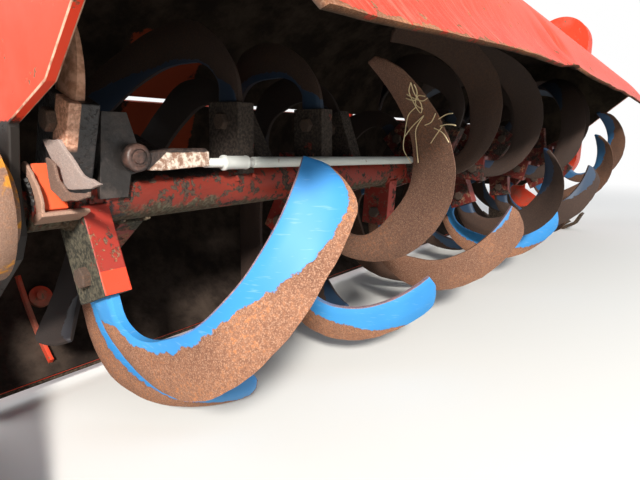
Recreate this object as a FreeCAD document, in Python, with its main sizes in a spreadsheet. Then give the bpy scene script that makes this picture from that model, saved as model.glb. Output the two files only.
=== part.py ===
import FreeCAD, Part
import math
import os

# Rotor of a towed soil rotavator in its hood, with the hinged rear board and the side drive case.
# +X runs along the rotor towards the drive case, +Y to the rear, +Z up.
# The origin is the middle of the footprint at floor level. Lengths are millimetres, angles degrees.

doc = FreeCAD.newDocument("rotavator_rotor")

SIZES = [
    ("axis_height", 275.0),
    ("axis_y", -9.0),
    # rotor
    ("tube_radius", 25.5),
    ("tube_gap_near", 5.0),
    ("tube_gap_far", 10.0),
    ("journal_radius", 17.5),
    ("journal_length", 46.0),
    ("bearing_play", 0.3),
    ("holder_axial", 25.0),
    ("holder_width", 50.0),
    ("holder_reach", 94.0),
    ("holder_root", 14.0),
    ("socket_depth", 52.0),
    ("socket_play", 0.3),
    ("bolt_across", 17.0),
    ("bolt_head", 7.0),
    ("nut_height", 9.0),
    ("bolt_reach", 72.0),
    ("torn_reach", 34.0),
    # tines
    ("tine_reach", 247.0),
    ("shank_width", 33.0),
    ("shank_gap", 1.0),
    ("shank_thick", 12.0),
    ("tip_thick", 7.0),
    ("edge_thick", 2.5),
    ("bend_start", 81.0),
    ("bend_radius", 162.0),
    # link rod in front of the tube, and the lug that holds its near end
    ("link_radius", 6.3),
    ("strap_inset", 172.0),
    ("link_thread", 66.0),
    ("link_front", 34.5),
    ("link_drop", 9.7),
    ("link_near_z", 27.8),
    ("strap_front", 6.0),
    ("strap_rise", 5.0),
    ("boss_radius", 11.0),
    ("boss_length", 12.5),
    ("lug_plate", 8.0),
    ("lug_inset", 58.0),
    ("lug_eye_inset", 89.5),
    ("lug_eye_z", 35.0),
    ("lug_eye_radius", 15.0),
    ("lug_rise", 40.0),
    ("strap_height", 20.5),
    # hood and side plates
    ("hood_radius", 320.0),
    ("hood_thick", 5.0),
    ("plate_near_x", -897.0),
    ("hood_length", 1759.0),
    ("plate_thick", 8.0),
    ("lip_depth", 14.0),
    ("lip_thick", 5.0),
    ("band_width", 50.0),
    ("band_thick", 5.0),
    ("band_gap", 12.0),
    ("plate_foot", 112.0),
    # bearing and drive case
    ("hub_radius", 60.0),
    ("hub_thick", 11.0),
    ("hub_boss", 38.0),
    ("cap_radius", 36.0),
    ("cap_length", 24.0),
    ("neck_front", 24.0),
    ("case_radius", 90.0),
    ("case_thick", 70.0),
    ("case_rim", 12.0),
    ("cover_thick", 8.0),
    ("input_radius", 22.0),
    ("input_clear", 37.0),
    ("input_collar", 30.0),
    ("spigot_radius", 17.5),
    ("spigot_length", 100.0),
    # frame beam
    ("beam_size", 80.0),
    ("beam_wall", 6.0),
    ("beam_gap", 10.0),
    ("beam_lift", 3.0),
    ("saddle_thick", 12.0),
    ("pad_length", 160.0),
    ("pad_thick", 12.0),
    ("pad_hole_radius", 8.5),
    ("pad_hole_x", 60.0),
    ("pad_hole_y", 20.0),
    ("pad_spread", 250.0),
    # skids
    ("skid_width", 46.0),
    ("skid_thick", 9.0),
    ("web_thick", 8.0),
    ("stub_radius", 17.0),
    ("stub_free_near", 39.0),
    ("stub_free_far", 74.0),
    # rear board
    ("hinge_offset", 16.0),
    ("pin_radius", 8.0),
    ("pin_play", 0.3),
    ("knuckle_radius", 13.0),
    ("lug_radius", 11.5),
    ("knuckle_length", 60.0),
    ("lug_thick", 8.0),
    ("lug_gap", 6.0),
    ("board_step", 5.0),
    ("board_thick", 5.0),
    ("board_end_gap", 8.0),
    ("rib_depth", 22.0),
    ("rib_thick", 8.0),
    ("toe_radius", 9.0),
    ("inner_rib_inset", 91.0),
    ("inner_rib_depth", 9.0),
    ("eye_radius", 15.0),
    ("eye_thick", 5.8),
    ("eye_inset", 22.0),
    ("seat_gap", 0.3),
]

sheet = doc.addObject("Spreadsheet::Sheet", "sizes")
for row, (alias, value) in enumerate(SIZES, start=1):
    sheet.set(f"A{row}", alias)
    sheet.set(f"B{row}", str(value))
    sheet.setAlias(f"B{row}", alias)
doc.recompute()
ALIASES = {alias for alias, _ in SIZES}


def size(alias):
    return float(sheet.get(alias))


# Angles about the rotor's axis, counted from the rear (+Y) upwards
HOOD_REAR_ANGLE = 22.3
HOOD_FRONT_ANGLE = 146.5
PLATE_FRONT_ANGLE = 139.0
HINGE_ANGLE = 19.0
BOARD_TOP_ANGLE = 21.0
BOARD_LOW_ANGLE = -52.0
EYE_ANGLE = -31.5
FLAP_ANGLE = 33.0

axis_y = size("axis_y")
axis_z = size("axis_height")
near_x = size("plate_near_x")
hood_length = size("hood_length")
hood_outer = size("hood_radius") + size("hood_thick")
PLATE_FAR = "(plate_near_x + hood_length)"
TUBE_NEAR = "(plate_near_x + tube_gap_near)"
TUBE_LENGTH = "(hood_length - tube_gap_near - tube_gap_far)"
CASE_RISE = "(hood_radius + hood_thick + input_radius + input_clear)"
INPUT_HEIGHT = f"axis_height + {CASE_RISE}"
BEAM_FRONT = "(axis_y + input_radius + beam_gap)"
UP = FreeCAD.Vector(0, 0, 1)
ALONG = FreeCAD.Vector(1, 0, 0)


def tied(text):
    """An expression with the sheet's name put before each of its aliases."""
    out = []
    word = ""
    for char in f"{text} ":
        if char.isalnum() or char == "_":
            word += char
            continue
        out.append(f"sizes.{word}" if word in ALIASES else word)
        out.append(char)
        word = ""
    return "".join(out).strip()


def place(obj, x="0", y="axis_y", z="axis_height"):
    for axis, expression in (("x", x), ("y", y), ("z", z)):
        obj.setExpression(f"Placement.Base.{axis}", tied(expression))
    return obj


def box(name, length, width, height, x, y="axis_y", z="axis_height"):
    obj = doc.addObject("Part::Box", name)
    for prop, expression in (("Length", length), ("Width", width), ("Height", height)):
        obj.setExpression(prop, tied(expression))
    return place(obj, x, y, z)


def rod(name, radius, length, x, y="axis_y", z="axis_height"):
    """A round bar along +X."""
    obj = doc.addObject("Part::Cylinder", name)
    obj.Placement = FreeCAD.Placement(FreeCAD.Vector(), FreeCAD.Rotation(UP, ALONG))
    obj.setExpression("Radius", tied(radius))
    obj.setExpression("Height", tied(length))
    return place(obj, x, y, z)


def hexagon(name, across, length, x, y="axis_y", z="axis_height"):
    """A bolt head or nut with its axis along +X."""
    obj = doc.addObject("Part::Prism", name)
    obj.Polygon = 6
    obj.Placement = FreeCAD.Placement(FreeCAD.Vector(), FreeCAD.Rotation(UP, ALONG))
    obj.setExpression("Circumradius", tied(f"{across} / sqrt(3)"))
    obj.setExpression("Height", tied(length))
    return place(obj, x, y, z)


def join(name, parts):
    obj = doc.addObject("Part::MultiFuse", name)
    obj.Shapes = parts
    return obj


def cut(name, base, tool):
    obj = doc.addObject("Part::Cut", name)
    obj.Base = base
    obj.Tool = tool
    return obj


def compound(name, parts):
    obj = doc.addObject("Part::Compound", name)
    obj.Links = parts
    return obj


def shape_part(name, shape, x=0.0):
    obj = doc.addObject("Part::Feature", name)
    obj.Shape = shape
    obj.Placement = FreeCAD.Placement(FreeCAD.Vector(x, 0, 0), FreeCAD.Rotation())
    return obj


def at(angle, radius):
    """The (y, z) offset from the axis of a point at an angle and a radius."""
    turn = math.radians(angle)
    return (radius * math.cos(turn), radius * math.sin(turn))


def arc(radius, first, last, count):
    step = (last - first) / (count - 1)
    return [at(first + step * n, radius) for n in range(count)]


def plate(name, points, thick, x):
    """A flat plate across the rotor, cut to an outline of (y, z) offsets from the axis."""
    corners = [FreeCAD.Vector(0, axis_y + y, axis_z + z) for y, z in points]
    face = Part.Face(Part.makePolygon(corners + corners[:1]))
    return shape_part(name, face.extrude(ALONG * thick), x)


def rolled(name, inner, thick, first, last, x, length):
    """A sheet rolled about the axis between two angles."""
    corners = {}
    for radius in (inner, inner + thick):
        for angle in (first, (first + last) / 2, last):
            y, z = at(angle, radius)
            corners[radius, angle] = FreeCAD.Vector(0, axis_y + y, axis_z + z)
    middle = (first + last) / 2
    outer = inner + thick
    edges = [
        Part.Arc(corners[inner, first], corners[inner, middle], corners[inner, last]).toShape(),
        Part.LineSegment(corners[inner, last], corners[outer, last]).toShape(),
        Part.Arc(corners[outer, last], corners[outer, middle], corners[outer, first]).toShape(),
        Part.LineSegment(corners[outer, first], corners[inner, first]).toShape(),
    ]
    return shape_part(name, Part.Face(Part.Wire(edges)).extrude(ALONG * length), x)


# Tines
# The flat blank, from where it leaves its socket to the tip: distance outwards along the shank's line, sweep
# across it, heading of the centre line, and the width on the outer (cutting) and inner side of that line.
TINE_BLANK = [
    # reach, sweep, heading, outer_side, inner_side
    (122.0, 5.0, 25.0, 16.0, 14.0),
    (145.0, 23.0, 50.0, 17.0, 16.0),
    (159.0, 48.0, 68.0, 21.0, 20.0),
    (166.0, 76.0, 83.0, 25.0, 25.0),
    (166.0, 105.0, 97.0, 26.0, 26.0),
    (160.0, 133.0, 109.0, 26.0, 26.0),
    (148.0, 159.0, 120.0, 26.0, 26.0),
    (132.0, 183.0, 129.0, 25.5, 25.5),
    (112.0, 204.0, 137.0, 25.0, 25.0),
    (90.0, 223.0, 143.0, 25.0, 25.0),
    (66.0, 239.0, 148.0, 25.0, 25.0),
    (54.0, 246.0, 150.0, 15.0, 25.0),
    (45.0, 251.0, 152.0, -4.0, 25.0),
]
BLANK_ROOT = 94.0
BLANK_REACH = 247.0
BEND_LINE = 12.0

# The stretch of the rotor that the places below are given for, and the station whose socket ends the link rod
STATION_SPAN = (-897.0, 862.0)
LINK_STATION = -261.0

# Where the tines sit: place along the rotor, turn from straight down towards the front, and the side
# that the blade bends to (1 to the drive case, -1 away from it, 0 an empty socket).
STATIONS = [
    # x, turn, side
    (-878.0, 115.0, 0),
    (-858.0, 158.0, 1),
    (-843.0, 21.0, 1),
    (-794.0, -54.0, 1),
    (-745.0, -112.0, -1),
    (-660.0, 178.0, -1),
    (-612.0, -150.0, -1),
    (-554.0, 48.0, -1),
    (-527.0, -28.0, 1),
    (-505.0, 180.0, 1),
    (-465.0, -95.0, -1),
    (-418.0, -160.0, 1),
    (-366.0, -75.0, -1),
    (-313.0, -4.0, 1),
    (-261.0, 95.0, -1),
    (-213.0, -70.0, 1),
    (-165.0, -140.0, -1),
    (-113.0, 155.0, 1),
    (-61.0, 88.0, -1),
    (-9.0, 21.0, -1),
    (45.0, -15.0, 1),
    (97.0, -82.0, 1),
    (149.0, -150.0, -1),
    (201.0, 143.0, -1),
    (253.0, 76.0, 1),
    (305.0, 8.0, 1),
    (357.0, -60.0, -1),
    (409.0, -127.0, -1),
    (461.0, 165.0, 1),
    (513.0, 98.0, 1),
    (565.0, 30.0, -1),
    (617.0, -37.0, -1),
    (669.0, -105.0, 1),
    (721.0, -172.0, 1),
    (773.0, 120.0, -1),
    (825.0, 53.0, -1),
]


def bent(reach, sweep):
    """A point of the flat blank after the blade is rolled sideways: outwards, across and sideways."""
    line = math.radians(BEND_LINE)
    start = size("bend_start")
    radius = size("bend_radius")
    root = size("holder_reach")
    along = (reach - root) * math.cos(line) + sweep * math.sin(line)
    across = sweep * math.cos(line) - (reach - root) * math.sin(line)
    roll = max(across - start, 0.0) / radius
    rolled_across = min(across, start) + radius * math.sin(roll)
    return (
        root + along * math.cos(line) - rolled_across * math.sin(line),
        along * math.sin(line) + rolled_across * math.cos(line),
        radius * (1 - math.cos(roll)),
    )


def tine_sections(side):
    """Corner points of each cross-section, with the shank straight down below the axis."""
    root = size("holder_reach")
    scale = (size("tine_reach") - root) / (BLANK_REACH - BLANK_ROOT)
    half_shank = size("shank_width") / 2
    rows = [(root - size("socket_depth") + size("shank_gap"), 0.0, 0.0, half_shank, half_shank, 0.0),
            (root, 0.0, 0.0, half_shank, half_shank, 0.0)]
    for n, (reach, sweep, heading, outer_side, inner_side) in enumerate(TINE_BLANK, start=1):
        rows.append((root + (reach - BLANK_ROOT) * scale, sweep * scale, heading, outer_side * scale,
                     inner_side * scale, n / len(TINE_BLANK)))
    sections = []
    for reach, sweep, heading, outer_side, inner_side, share in rows:
        turn = math.radians(heading)
        step_out = (math.sin(turn), -math.cos(turn))
        thick = size("shank_thick") * (1 - share) + size("tip_thick") * share
        edge = thick if not share else max(size("edge_thick"), thick * (1 - 2 * share))
        corners = []
        for width, half in ((outer_side, edge / 2), (-inner_side, thick / 2)):
            flat = (reach + step_out[0] * width, sweep + step_out[1] * width)
            middle = FreeCAD.Vector(*bent(*flat))
            nudge = FreeCAD.Vector(*bent(flat[0] + math.cos(turn), flat[1] + math.sin(turn))) - middle
            inward = FreeCAD.Vector(*bent(flat[0] - step_out[0], flat[1] - step_out[1])) - middle
            normal = nudge.cross(inward)
            normal.normalize()
            corners.append((middle, normal * half))
        (outer, outer_half), (inner, inner_half) = corners
        ring = [outer - outer_half, outer + outer_half, inner + inner_half, inner - inner_half]
        sections.append([FreeCAD.Vector(side * point.z, -point.y, -point.x) for point in ring])
    return sections


def faceted(sections):
    """A closed solid of flat facets through a run of sections."""
    facets = []

    def quad(a, b, c, d):
        facets.append((a, b, c))
        facets.append((a, c, d))

    for first, *others in (sections[0], [sections[-1][0]] + sections[-1][:0:-1]):
        facets += [(first, b, c) for b, c in zip(others, others[1:])]
    for ring, following in zip(sections, sections[1:]):
        for corner in range(len(ring)):
            after = (corner + 1) % len(ring)
            quad(ring[corner], following[corner], following[after], ring[after])
    shell = Part.makeShell([Part.Face(Part.makePolygon([a, b, c, a])) for a, b, c in facets])
    solid = Part.makeSolid(shell)
    if solid.Volume < 0:
        solid.reverse()
    return solid


def turned(turn):
    return FreeCAD.Rotation(ALONG, -turn)


def along(x):
    """The place of a station when the hood's length or its near end is changed."""
    first, last = STATION_SPAN
    return near_x + (x - first) * hood_length / (last - first)


tine_solids = {side: faceted(tine_sections(side)) for side in (1, -1)}
for name, wanted in (("tines_right", 1), ("tines_left", -1)):
    solids = []
    for x, turn, side in STATIONS:
        if side == wanted:
            solid = tine_solids[side].copy()
            solid.Placement = FreeCAD.Placement(FreeCAD.Vector(along(x), axis_y, axis_z), turned(turn))
            solids.append(solid)
    shape_part(name, Part.makeCompound(solids))


# Rotor: tube, journals and the welded sockets with their bolts
def station_box(name, length, width, height, x, turn, corner):
    """A box at one tine's station; corner is its lowest corner with the shank straight down."""
    obj = doc.addObject("Part::Box", name)
    for prop, expression in (("Length", length), ("Width", width), ("Height", height)):
        obj.setExpression(prop, tied(expression))
    offset = turned(turn).multVec(FreeCAD.Vector(*corner))
    obj.Placement = FreeCAD.Placement(offset + FreeCAD.Vector(x, axis_y, axis_z), turned(turn))
    return obj


def station_bolt(name, length, x, turn):
    """A bolt head or nut on the side of a socket."""
    reach = turned(turn).multVec(FreeCAD.Vector(0, 0, -size("bolt_reach")))
    return hexagon(name, "bolt_across", length, x=str(x), y=f"axis_y + {reach.y}",
                   z=f"axis_height + {reach.z}")


def torn_socket(x, turn):
    """The plates left of a socket that has lost its tine: the lower and near wall and a bent flap."""
    half = size("holder_width") / 2
    root = size("holder_root")
    end = size("torn_reach")
    wall = half_axial - size("shank_thick") / 2 - size("socket_play")
    outlines = [
        # name, lowest x, thickness, lean to the drive case, outline as (across, reach)
        ("torn_lower", -1.1 * half_axial, 3.1 * half_axial, 0.0,
         [(half, root), (half, end), (half - wall * 0.5, end), (half - wall, end * 0.8),
          (half - wall, root)]),
        ("torn_near", -half_axial, wall * 0.8, 0.0,
         [(half - 1, root), (half - 1, end * 0.95), (half * 0.2, end * 1.1), (-half * 0.5, end),
          (-half, end * 0.8), (-half, root)]),
        ("torn_flap", half_axial - wall, wall, FLAP_ANGLE,
         [(half - 1, root), (half - 1, end * 1.1), (half * 0.5, end * 1.35), (-half * 0.6, end * 1.2),
          (-half * 1.3, end * 1.1), (-half * 1.3, end * 0.7), (-half, root)]),
    ]
    plates = []
    for name, low_x, thick, lean, outline in outlines:
        corners = [FreeCAD.Vector(low_x, across, -reach) for across, reach in outline]
        solid = Part.Face(Part.makePolygon(corners + corners[:1])).extrude(ALONG * thick)
        obj = doc.addObject("Part::Feature", name)
        obj.Shape = solid
        leaning = FreeCAD.Rotation(FreeCAD.Vector(0, 1, 0), -lean)
        obj.Placement = FreeCAD.Placement(FreeCAD.Vector(x, axis_y, axis_z), turned(turn).multiply(leaning))
        plates.append(obj)
    return plates


rotor_parts = [
    rod("tube", "tube_radius", TUBE_LENGTH, x=TUBE_NEAR),
    rod("journal_near", "journal_radius", "journal_length", x=TUBE_NEAR + " - journal_length"),
    rod("journal_far", "journal_radius", "journal_length", x=PLATE_FAR + " - tube_gap_far"),
]
socket_parts = []
half_axial = size("holder_axial") / 2
slot_axial = size("shank_thick") / 2 + size("socket_play")
slot_half = size("shank_width") / 2 + size("socket_play")
for n, (station_x, turn, side) in enumerate(STATIONS):
    x = along(station_x)
    if not side:
        rotor_parts += torn_socket(x, turn)
        continue
    rotor_parts.append(station_box(
        f"socket_{n}", "holder_axial", "holder_width", "holder_reach - holder_root", x, turn,
        (-half_axial, -size("holder_width") / 2, -size("holder_reach"))))
    rotor_parts.append(station_bolt(f"bolt_head_{n}", "bolt_head", x - half_axial - size("bolt_head"), turn))
    rotor_parts.append(station_bolt(f"nut_{n}", "nut_height", x + half_axial, turn))
    socket_parts.append(station_box(
        f"slot_{n}", "shank_thick + 2 * socket_play", "shank_width + 2 * socket_play", "socket_depth", x,
        turn, (-slot_axial, -slot_half, -size("holder_reach"))))
rotor_tube = cut("rotor_tube", join("rotor_solid", rotor_parts), compound("slots", socket_parts))

# Link rod: a greasy lug on the tube with a round eye, a strap, a threaded end with nuts, and the rod
lug_front = size("link_front") - size("lug_plate") / 2
lug_top = size("lug_eye_z") + size("lug_rise")
link_near_z = size("link_near_z")


def upright(name, points, front, thick):
    """A plate along the rotor, cut to an outline of (x, z from the axis)."""
    corners = [FreeCAD.Vector(x, axis_y - front, axis_z + z) for x, z in points]
    face = Part.Face(Part.makePolygon(corners + corners[:1]))
    return shape_part(name, face.extrude(FreeCAD.Vector(0, thick, 0)))


eye_x = near_x + size("lug_eye_inset")
eye_z = size("lug_eye_z")
lug_x = near_x + size("lug_inset")
eye_edge = [(eye_x + size("lug_eye_radius") * math.cos(math.radians(turn)),
             eye_z + size("lug_eye_radius") * math.sin(math.radians(turn))) for turn in range(-90, 60, 21)]
lug_points = [(lug_x, 0.0), (eye_x - 0.3 * size("lug_eye_radius"), 0.0)] + eye_edge + [
    (eye_x, lug_top), (lug_x + size("lug_plate"), lug_top)]
lug_blank = upright("lug_blank", lug_points, lug_front, size("lug_plate"))
lug_foot = box("lug_foot", f"{eye_x - lug_x} - lug_plate", "link_front - lug_plate / 2", "tube_radius * 0.5",
               x=f"{lug_x} + lug_plate / 2", y="axis_y - link_front + lug_plate / 2",
               z="axis_height + tube_radius * 0.2")
lug_room = rod("lug_room", "tube_radius + seat_gap", TUBE_LENGTH, x=TUBE_NEAR)
eye_lug = cut("eye_lug", join("lug_solid", [lug_blank, lug_foot]), lug_room)
strap_far = near_x + size("strap_inset")
strap_front = size("link_front") + size("strap_front")
strap_low = link_near_z + size("strap_rise") - size("strap_height") / 2
strap_top = strap_low + size("strap_height")
strap_points = [(eye_x, eye_z - size("boss_radius")), (eye_x + 2 * size("boss_radius"), strap_low),
                (strap_far, strap_low), (strap_far, strap_top), (eye_x + 3 * size("boss_radius"), strap_top),
                (eye_x, eye_z + size("boss_radius"))]
link_end = along(LINK_STATION) - size("holder_axial") / 2


def sloped_rod(name, radius, first_x, last_x):
    """A round bar that falls towards the drive case, along the link's line."""
    fall = size("link_drop") / (link_end - strap_far)
    start_z = axis_z + link_near_z - (first_x - strap_far) * fall
    start = FreeCAD.Vector(first_x, axis_y - size("link_front"), start_z)
    way = FreeCAD.Vector(1, 0, -fall)
    return shape_part(name, Part.makeCylinder(radius, (last_x - first_x) * way.Length, start, way))


thread_far = strap_far + size("link_thread")
link_radius = size("link_radius")
sleeve_x = thread_far - size("link_thread") * 0.6
link_parts = [
    upright("strap", strap_points, strap_front, strap_front - lug_front - size("seat_gap")),
    shape_part("eye_boss", Part.makeCylinder(size("boss_radius"), size("boss_length"), FreeCAD.Vector(
        eye_x, axis_y - lug_front - size("seat_gap"), axis_z + eye_z), FreeCAD.Vector(0, -1, 0))),
    sloped_rod("link_thread", link_radius * 0.8, strap_far - 4.0, thread_far),
    sloped_rod("link_collar", link_radius * 1.3, sleeve_x - 0.6 * link_radius, sleeve_x),
    sloped_rod("link_sleeve", link_radius * 1.15, sleeve_x, thread_far - link_radius),
    sloped_rod("link_bar", link_radius, thread_far, link_end - size("seat_gap")),
]
link_rod = join("link_rod", link_parts)

# Hood: the rolled sheet, the front apron with its slanted edge, and the lip
hood_roll = rolled("hood_roll", size("hood_radius"), size("hood_thick"), HOOD_REAR_ANGLE, HOOD_FRONT_ANGLE,
                   near_x, hood_length)


def front_edge():
    """The lower edge of the front apron, from the near plate to where it runs out."""
    table = [
        # share of the hood's length, angle of the lower edge
        (0.0, 163.0),
        (0.065, 161.4),
        (0.12, 160.0),
        (0.18, 158.5),
        (0.28, 156.6),
        (0.42, 155.3),
        (0.70, 154.2),
        (1.0, 153.4),
    ]
    return [(near_x + share * hood_length, angle) for share, angle in table]


def apron():
    """The sheet below the rolled part, with the edge bar turned outwards along its lower edge."""
    sections = []
    bar = math.degrees(size("lip_thick") / hood_outer)
    lip_outer = hood_outer + size("lip_depth")
    for x, angle in front_edge():
        ring = []
        for corner_angle, radius in ((angle - bar, hood_outer), (angle - bar, lip_outer), (angle, lip_outer),
                                     (angle, size("hood_radius")), (HOOD_FRONT_ANGLE, size("hood_radius")),
                                     (HOOD_FRONT_ANGLE, hood_outer)):
            y, z = at(corner_angle, radius)
            ring.append(FreeCAD.Vector(x, axis_y + y, axis_z + z))
        sections.append(ring)
    return faceted(sections)


hood_sheet = join("hood_sheet", [hood_roll, shape_part("apron", apron())])

beam_far = size("input_radius") + size("beam_gap") + size("beam_size")
band_end = math.degrees(math.acos((beam_far + size("band_gap")) / hood_outer))
bands = []
for n, share in enumerate((0.0, 0.25, 0.5, 0.75, 1.0)):
    band_x = near_x + share * (hood_length - size("band_width"))
    bands.append(rolled(f"band_{n}", hood_outer + size("seat_gap"), size("band_thick"), HOOD_REAR_ANGLE + 8,
                        band_end, band_x, size("band_width")))
hood_bands = compound("hood_bands", bands)

# Side plates
reach = size("hood_radius")
neck = size("neck_front")
foot = size("plate_foot")
plate_outline = (
    arc(hood_outer, HOOD_REAR_ANGLE - 6, PLATE_FRONT_ANGLE, 22)
    + [(-0.45 * reach, 0.39 * reach), (-0.32 * reach, 0.273 * reach), (-0.107 * reach, 0.194 * reach)]
    + [(-neck, 0.9 * neck), (-neck, -neck), (-0.4 * neck, -1.9 * neck)]
    + [(foot * 0.75, -foot), (foot * 2.05, -foot), (foot * 2.45, -foot * 0.25)]
)
for side, plate_x, hole_x in (("near", near_x - size("plate_thick"), "plate_near_x - plate_thick"),
                              ("far", near_x + hood_length, PLATE_FAR)):
    blank = plate(f"side_blank_{side}", plate_outline, size("plate_thick"), plate_x)
    hole = rod(f"side_hole_{side}", "journal_radius + bearing_play", "plate_thick", x=hole_x)
    cut(f"side_plate_{side}", blank, hole)

# Near bearing: a round flange with a cap and its bolts
hub_x = "plate_near_x - plate_thick - 2 * hub_thick"
hub_parts = [
    rod("hub_seat", "hub_boss", "hub_thick", x=hub_x + " + hub_thick"),
    rod("hub_flange", "hub_radius", "hub_thick", x=hub_x),
    rod("hub_cap", "cap_radius", "cap_length", x=hub_x + " - cap_length"),
]
for n in range(6):
    y, z = at(30 + 60 * n, (size("hub_radius") + size("cap_radius")) / 2)
    hub_parts.append(hexagon(f"hub_bolt_{n}", "bolt_across", "bolt_head", x=hub_x + " - bolt_head",
                             y=f"axis_y + {y}", z=f"axis_height + {z}"))
hub_bore = rod("hub_bore", "journal_radius + bearing_play", "journal_length + 2 * bearing_play",
               x=TUBE_NEAR + " - journal_length - bearing_play")
bearing_near = cut("bearing_near", join("hub_solid", hub_parts), hub_bore)

# Side drive case: a chain case with a bolted cover
case_x = PLATE_FAR + " + plate_thick"
cover_x = case_x + " + case_thick"


def round_ended(name, radius, thick, x):
    """A body across the rotor with round ends at the rotor and at the input shaft."""
    return [
        rod(f"{name}_low", radius, thick, x=x),
        rod(f"{name}_high", radius, thick, x=x, z=INPUT_HEIGHT),
        box(f"{name}_middle", thick, f"2 * ({radius})", CASE_RISE, x=x, y=f"axis_y - ({radius})"),
    ]


case_rise = hood_outer + size("input_radius") + size("input_clear")
cover_bolts = []
bolt_ring = size("case_radius") - size("case_rim") * 1.2
for n, (centre_z, first) in enumerate(((0.0, 180.0), (case_rise, 0.0))):
    for m in range(4):
        y, z = at(first + 60 * m, bolt_ring)
        cover_bolts.append(hexagon(f"cover_bolt_{n}_{m}", "bolt_across", "cover_thick * 1.6", x=cover_x,
                               y=f"axis_y + {y}", z=f"axis_height + {centre_z + z}"))
for m, share in enumerate((0.33, 0.67)):
    for edge in (-1, 1):
        cover_bolts.append(hexagon(f"cover_bolt_side_{m}_{edge}", "bolt_across", "cover_thick * 1.6",
                                   x=cover_x, y=f"axis_y + {edge * bolt_ring}",
                                   z=f"axis_height + {case_rise * share}"))
case_body = round_ended("case", "case_radius", "case_thick", case_x)
case_cover = round_ended("cover", "case_radius - case_rim * 0.2", "cover_thick", cover_x)
case_solid = join("case_solid", case_body + case_cover + cover_bolts)
case_bores = compound("case_bores", [
    rod("case_journal", "journal_radius + bearing_play", "journal_length", x=case_x),
    rod("case_input", "input_radius + bearing_play", "journal_length", x=case_x, z=INPUT_HEIGHT),
])
drive_case = cut("drive_case", case_solid, case_bores)

input_body = rod("input_body", "input_radius", "input_collar + journal_length - 2",
                 x=case_x + " - input_collar", z=INPUT_HEIGHT)
input_spigot = rod("input_spigot", "spigot_radius", "spigot_length",
                   x=case_x + " - input_collar - spigot_length", z=INPUT_HEIGHT)
input_shaft = join("input_shaft", [input_body, input_spigot])

# Frame beam behind the input shaft, with two bolt pads
beam_z = "axis_height + hood_radius + hood_thick + beam_lift"
beam_outer = box("beam_outer", "hood_length", "beam_size", "beam_size", x="plate_near_x", y=BEAM_FRONT,
                 z=beam_z)
beam_inner = box("beam_inner", "hood_length", "beam_size - 2 * beam_wall", "beam_size - 2 * beam_wall",
                 x="plate_near_x", y=BEAM_FRONT + " + beam_wall", z=beam_z + " + beam_wall")
beam_tube = cut("beam_tube", beam_outer, beam_inner)
beam_low = hood_outer + size("beam_lift")
seat = hood_outer + size("seat_gap")
beam_near = beam_far - size("beam_size")
saddle_ends = [math.degrees(math.acos(edge / seat)) for edge in (beam_far, beam_near)]
saddle_outline = arc(seat, *saddle_ends, 9) + [
    (beam_near, beam_low + size("seat_gap")),
    (beam_far, beam_low + size("seat_gap")),
]
beam_parts = [beam_tube]
for n, share in enumerate((0.1, 0.37, 0.63, 0.9)):
    beam_parts.append(plate(f"saddle_{n}", saddle_outline, size("saddle_thick"),
                            near_x + share * hood_length))
pad_z = beam_z + " + beam_size"
pad_holes = []
for n, side in enumerate((-1, 1)):
    pad_x = f"{side} * pad_spread"
    beam_parts.append(box(f"pad_{n}", "pad_length", "beam_size", "pad_thick", x=pad_x + " - pad_length / 2",
                          y=BEAM_FRONT, z=pad_z))
    for end in (-1, 1):
        for across in (-1, 1):
            hole = doc.addObject("Part::Cylinder", f"pad_hole_{n}")
            hole.setExpression("Radius", tied("pad_hole_radius"))
            hole.setExpression("Height", tied("pad_thick + beam_wall"))
            pad_holes.append(place(hole, x=f"{pad_x} + {end} * pad_hole_x",
                                   y=f"{BEAM_FRONT} + beam_size / 2 + {across} * pad_hole_y",
                                   z=pad_z + " - beam_wall"))
top_beam = cut("top_beam", join("beam_solid", beam_parts), compound("pad_holes", pad_holes))

# Skids: a turned-up runner, its web and the stubs that hold it off the side plate
floor = -axis_z
top = floor + size("skid_thick")
RUNNER = [
    # share of the hood's radius, height above the floor
    (-0.36, 62.0),
    (-0.30, 22.0),
    (-0.18, 0.0),
    (0.72, 0.0),
    (0.86, 30.0),
    (0.84, 37.0),
    (0.70, size("skid_thick")),
    (-0.165, size("skid_thick")),
    (-0.275, 29.0),
    (-0.335, 65.0),
]
runner_outline = [(share * reach, floor + height) for share, height in RUNNER]
web_outline = [
    (-0.16 * reach, top), (-0.25 * reach, floor + 31.0), (0.30 * reach, -0.40 * reach),
    (0.31 * reach, -0.06 * reach), (0.74 * reach, -0.06 * reach), (0.72 * reach, top),
]
stub_spots = [(0.41 * reach, -0.16 * reach), (0.64 * reach, -0.16 * reach)]
near_runner = near_x - size("plate_thick") - size("stub_free_near") - size("skid_width")
far_runner = near_x + hood_length + size("plate_thick") + size("stub_free_far")
for side, runner_x, web_x, stub_x in (
        ("near", near_runner, near_runner + size("skid_width") - size("web_thick"),
         "plate_near_x - plate_thick - stub_free_near"),
        ("far", far_runner, far_runner, PLATE_FAR + " + plate_thick")):
    parts = [
        plate(f"runner_{side}", runner_outline, size("skid_width"), runner_x),
        plate(f"web_{side}", web_outline, size("web_thick"), web_x),
    ]
    for n, (y, z) in enumerate(stub_spots):
        parts.append(rod(f"stub_{side}_{n}", "stub_radius", f"stub_free_{side}", x=stub_x, y=f"axis_y + {y}",
                         z=f"axis_height + {z}"))
    join(f"skid_{side}", parts)

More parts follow.
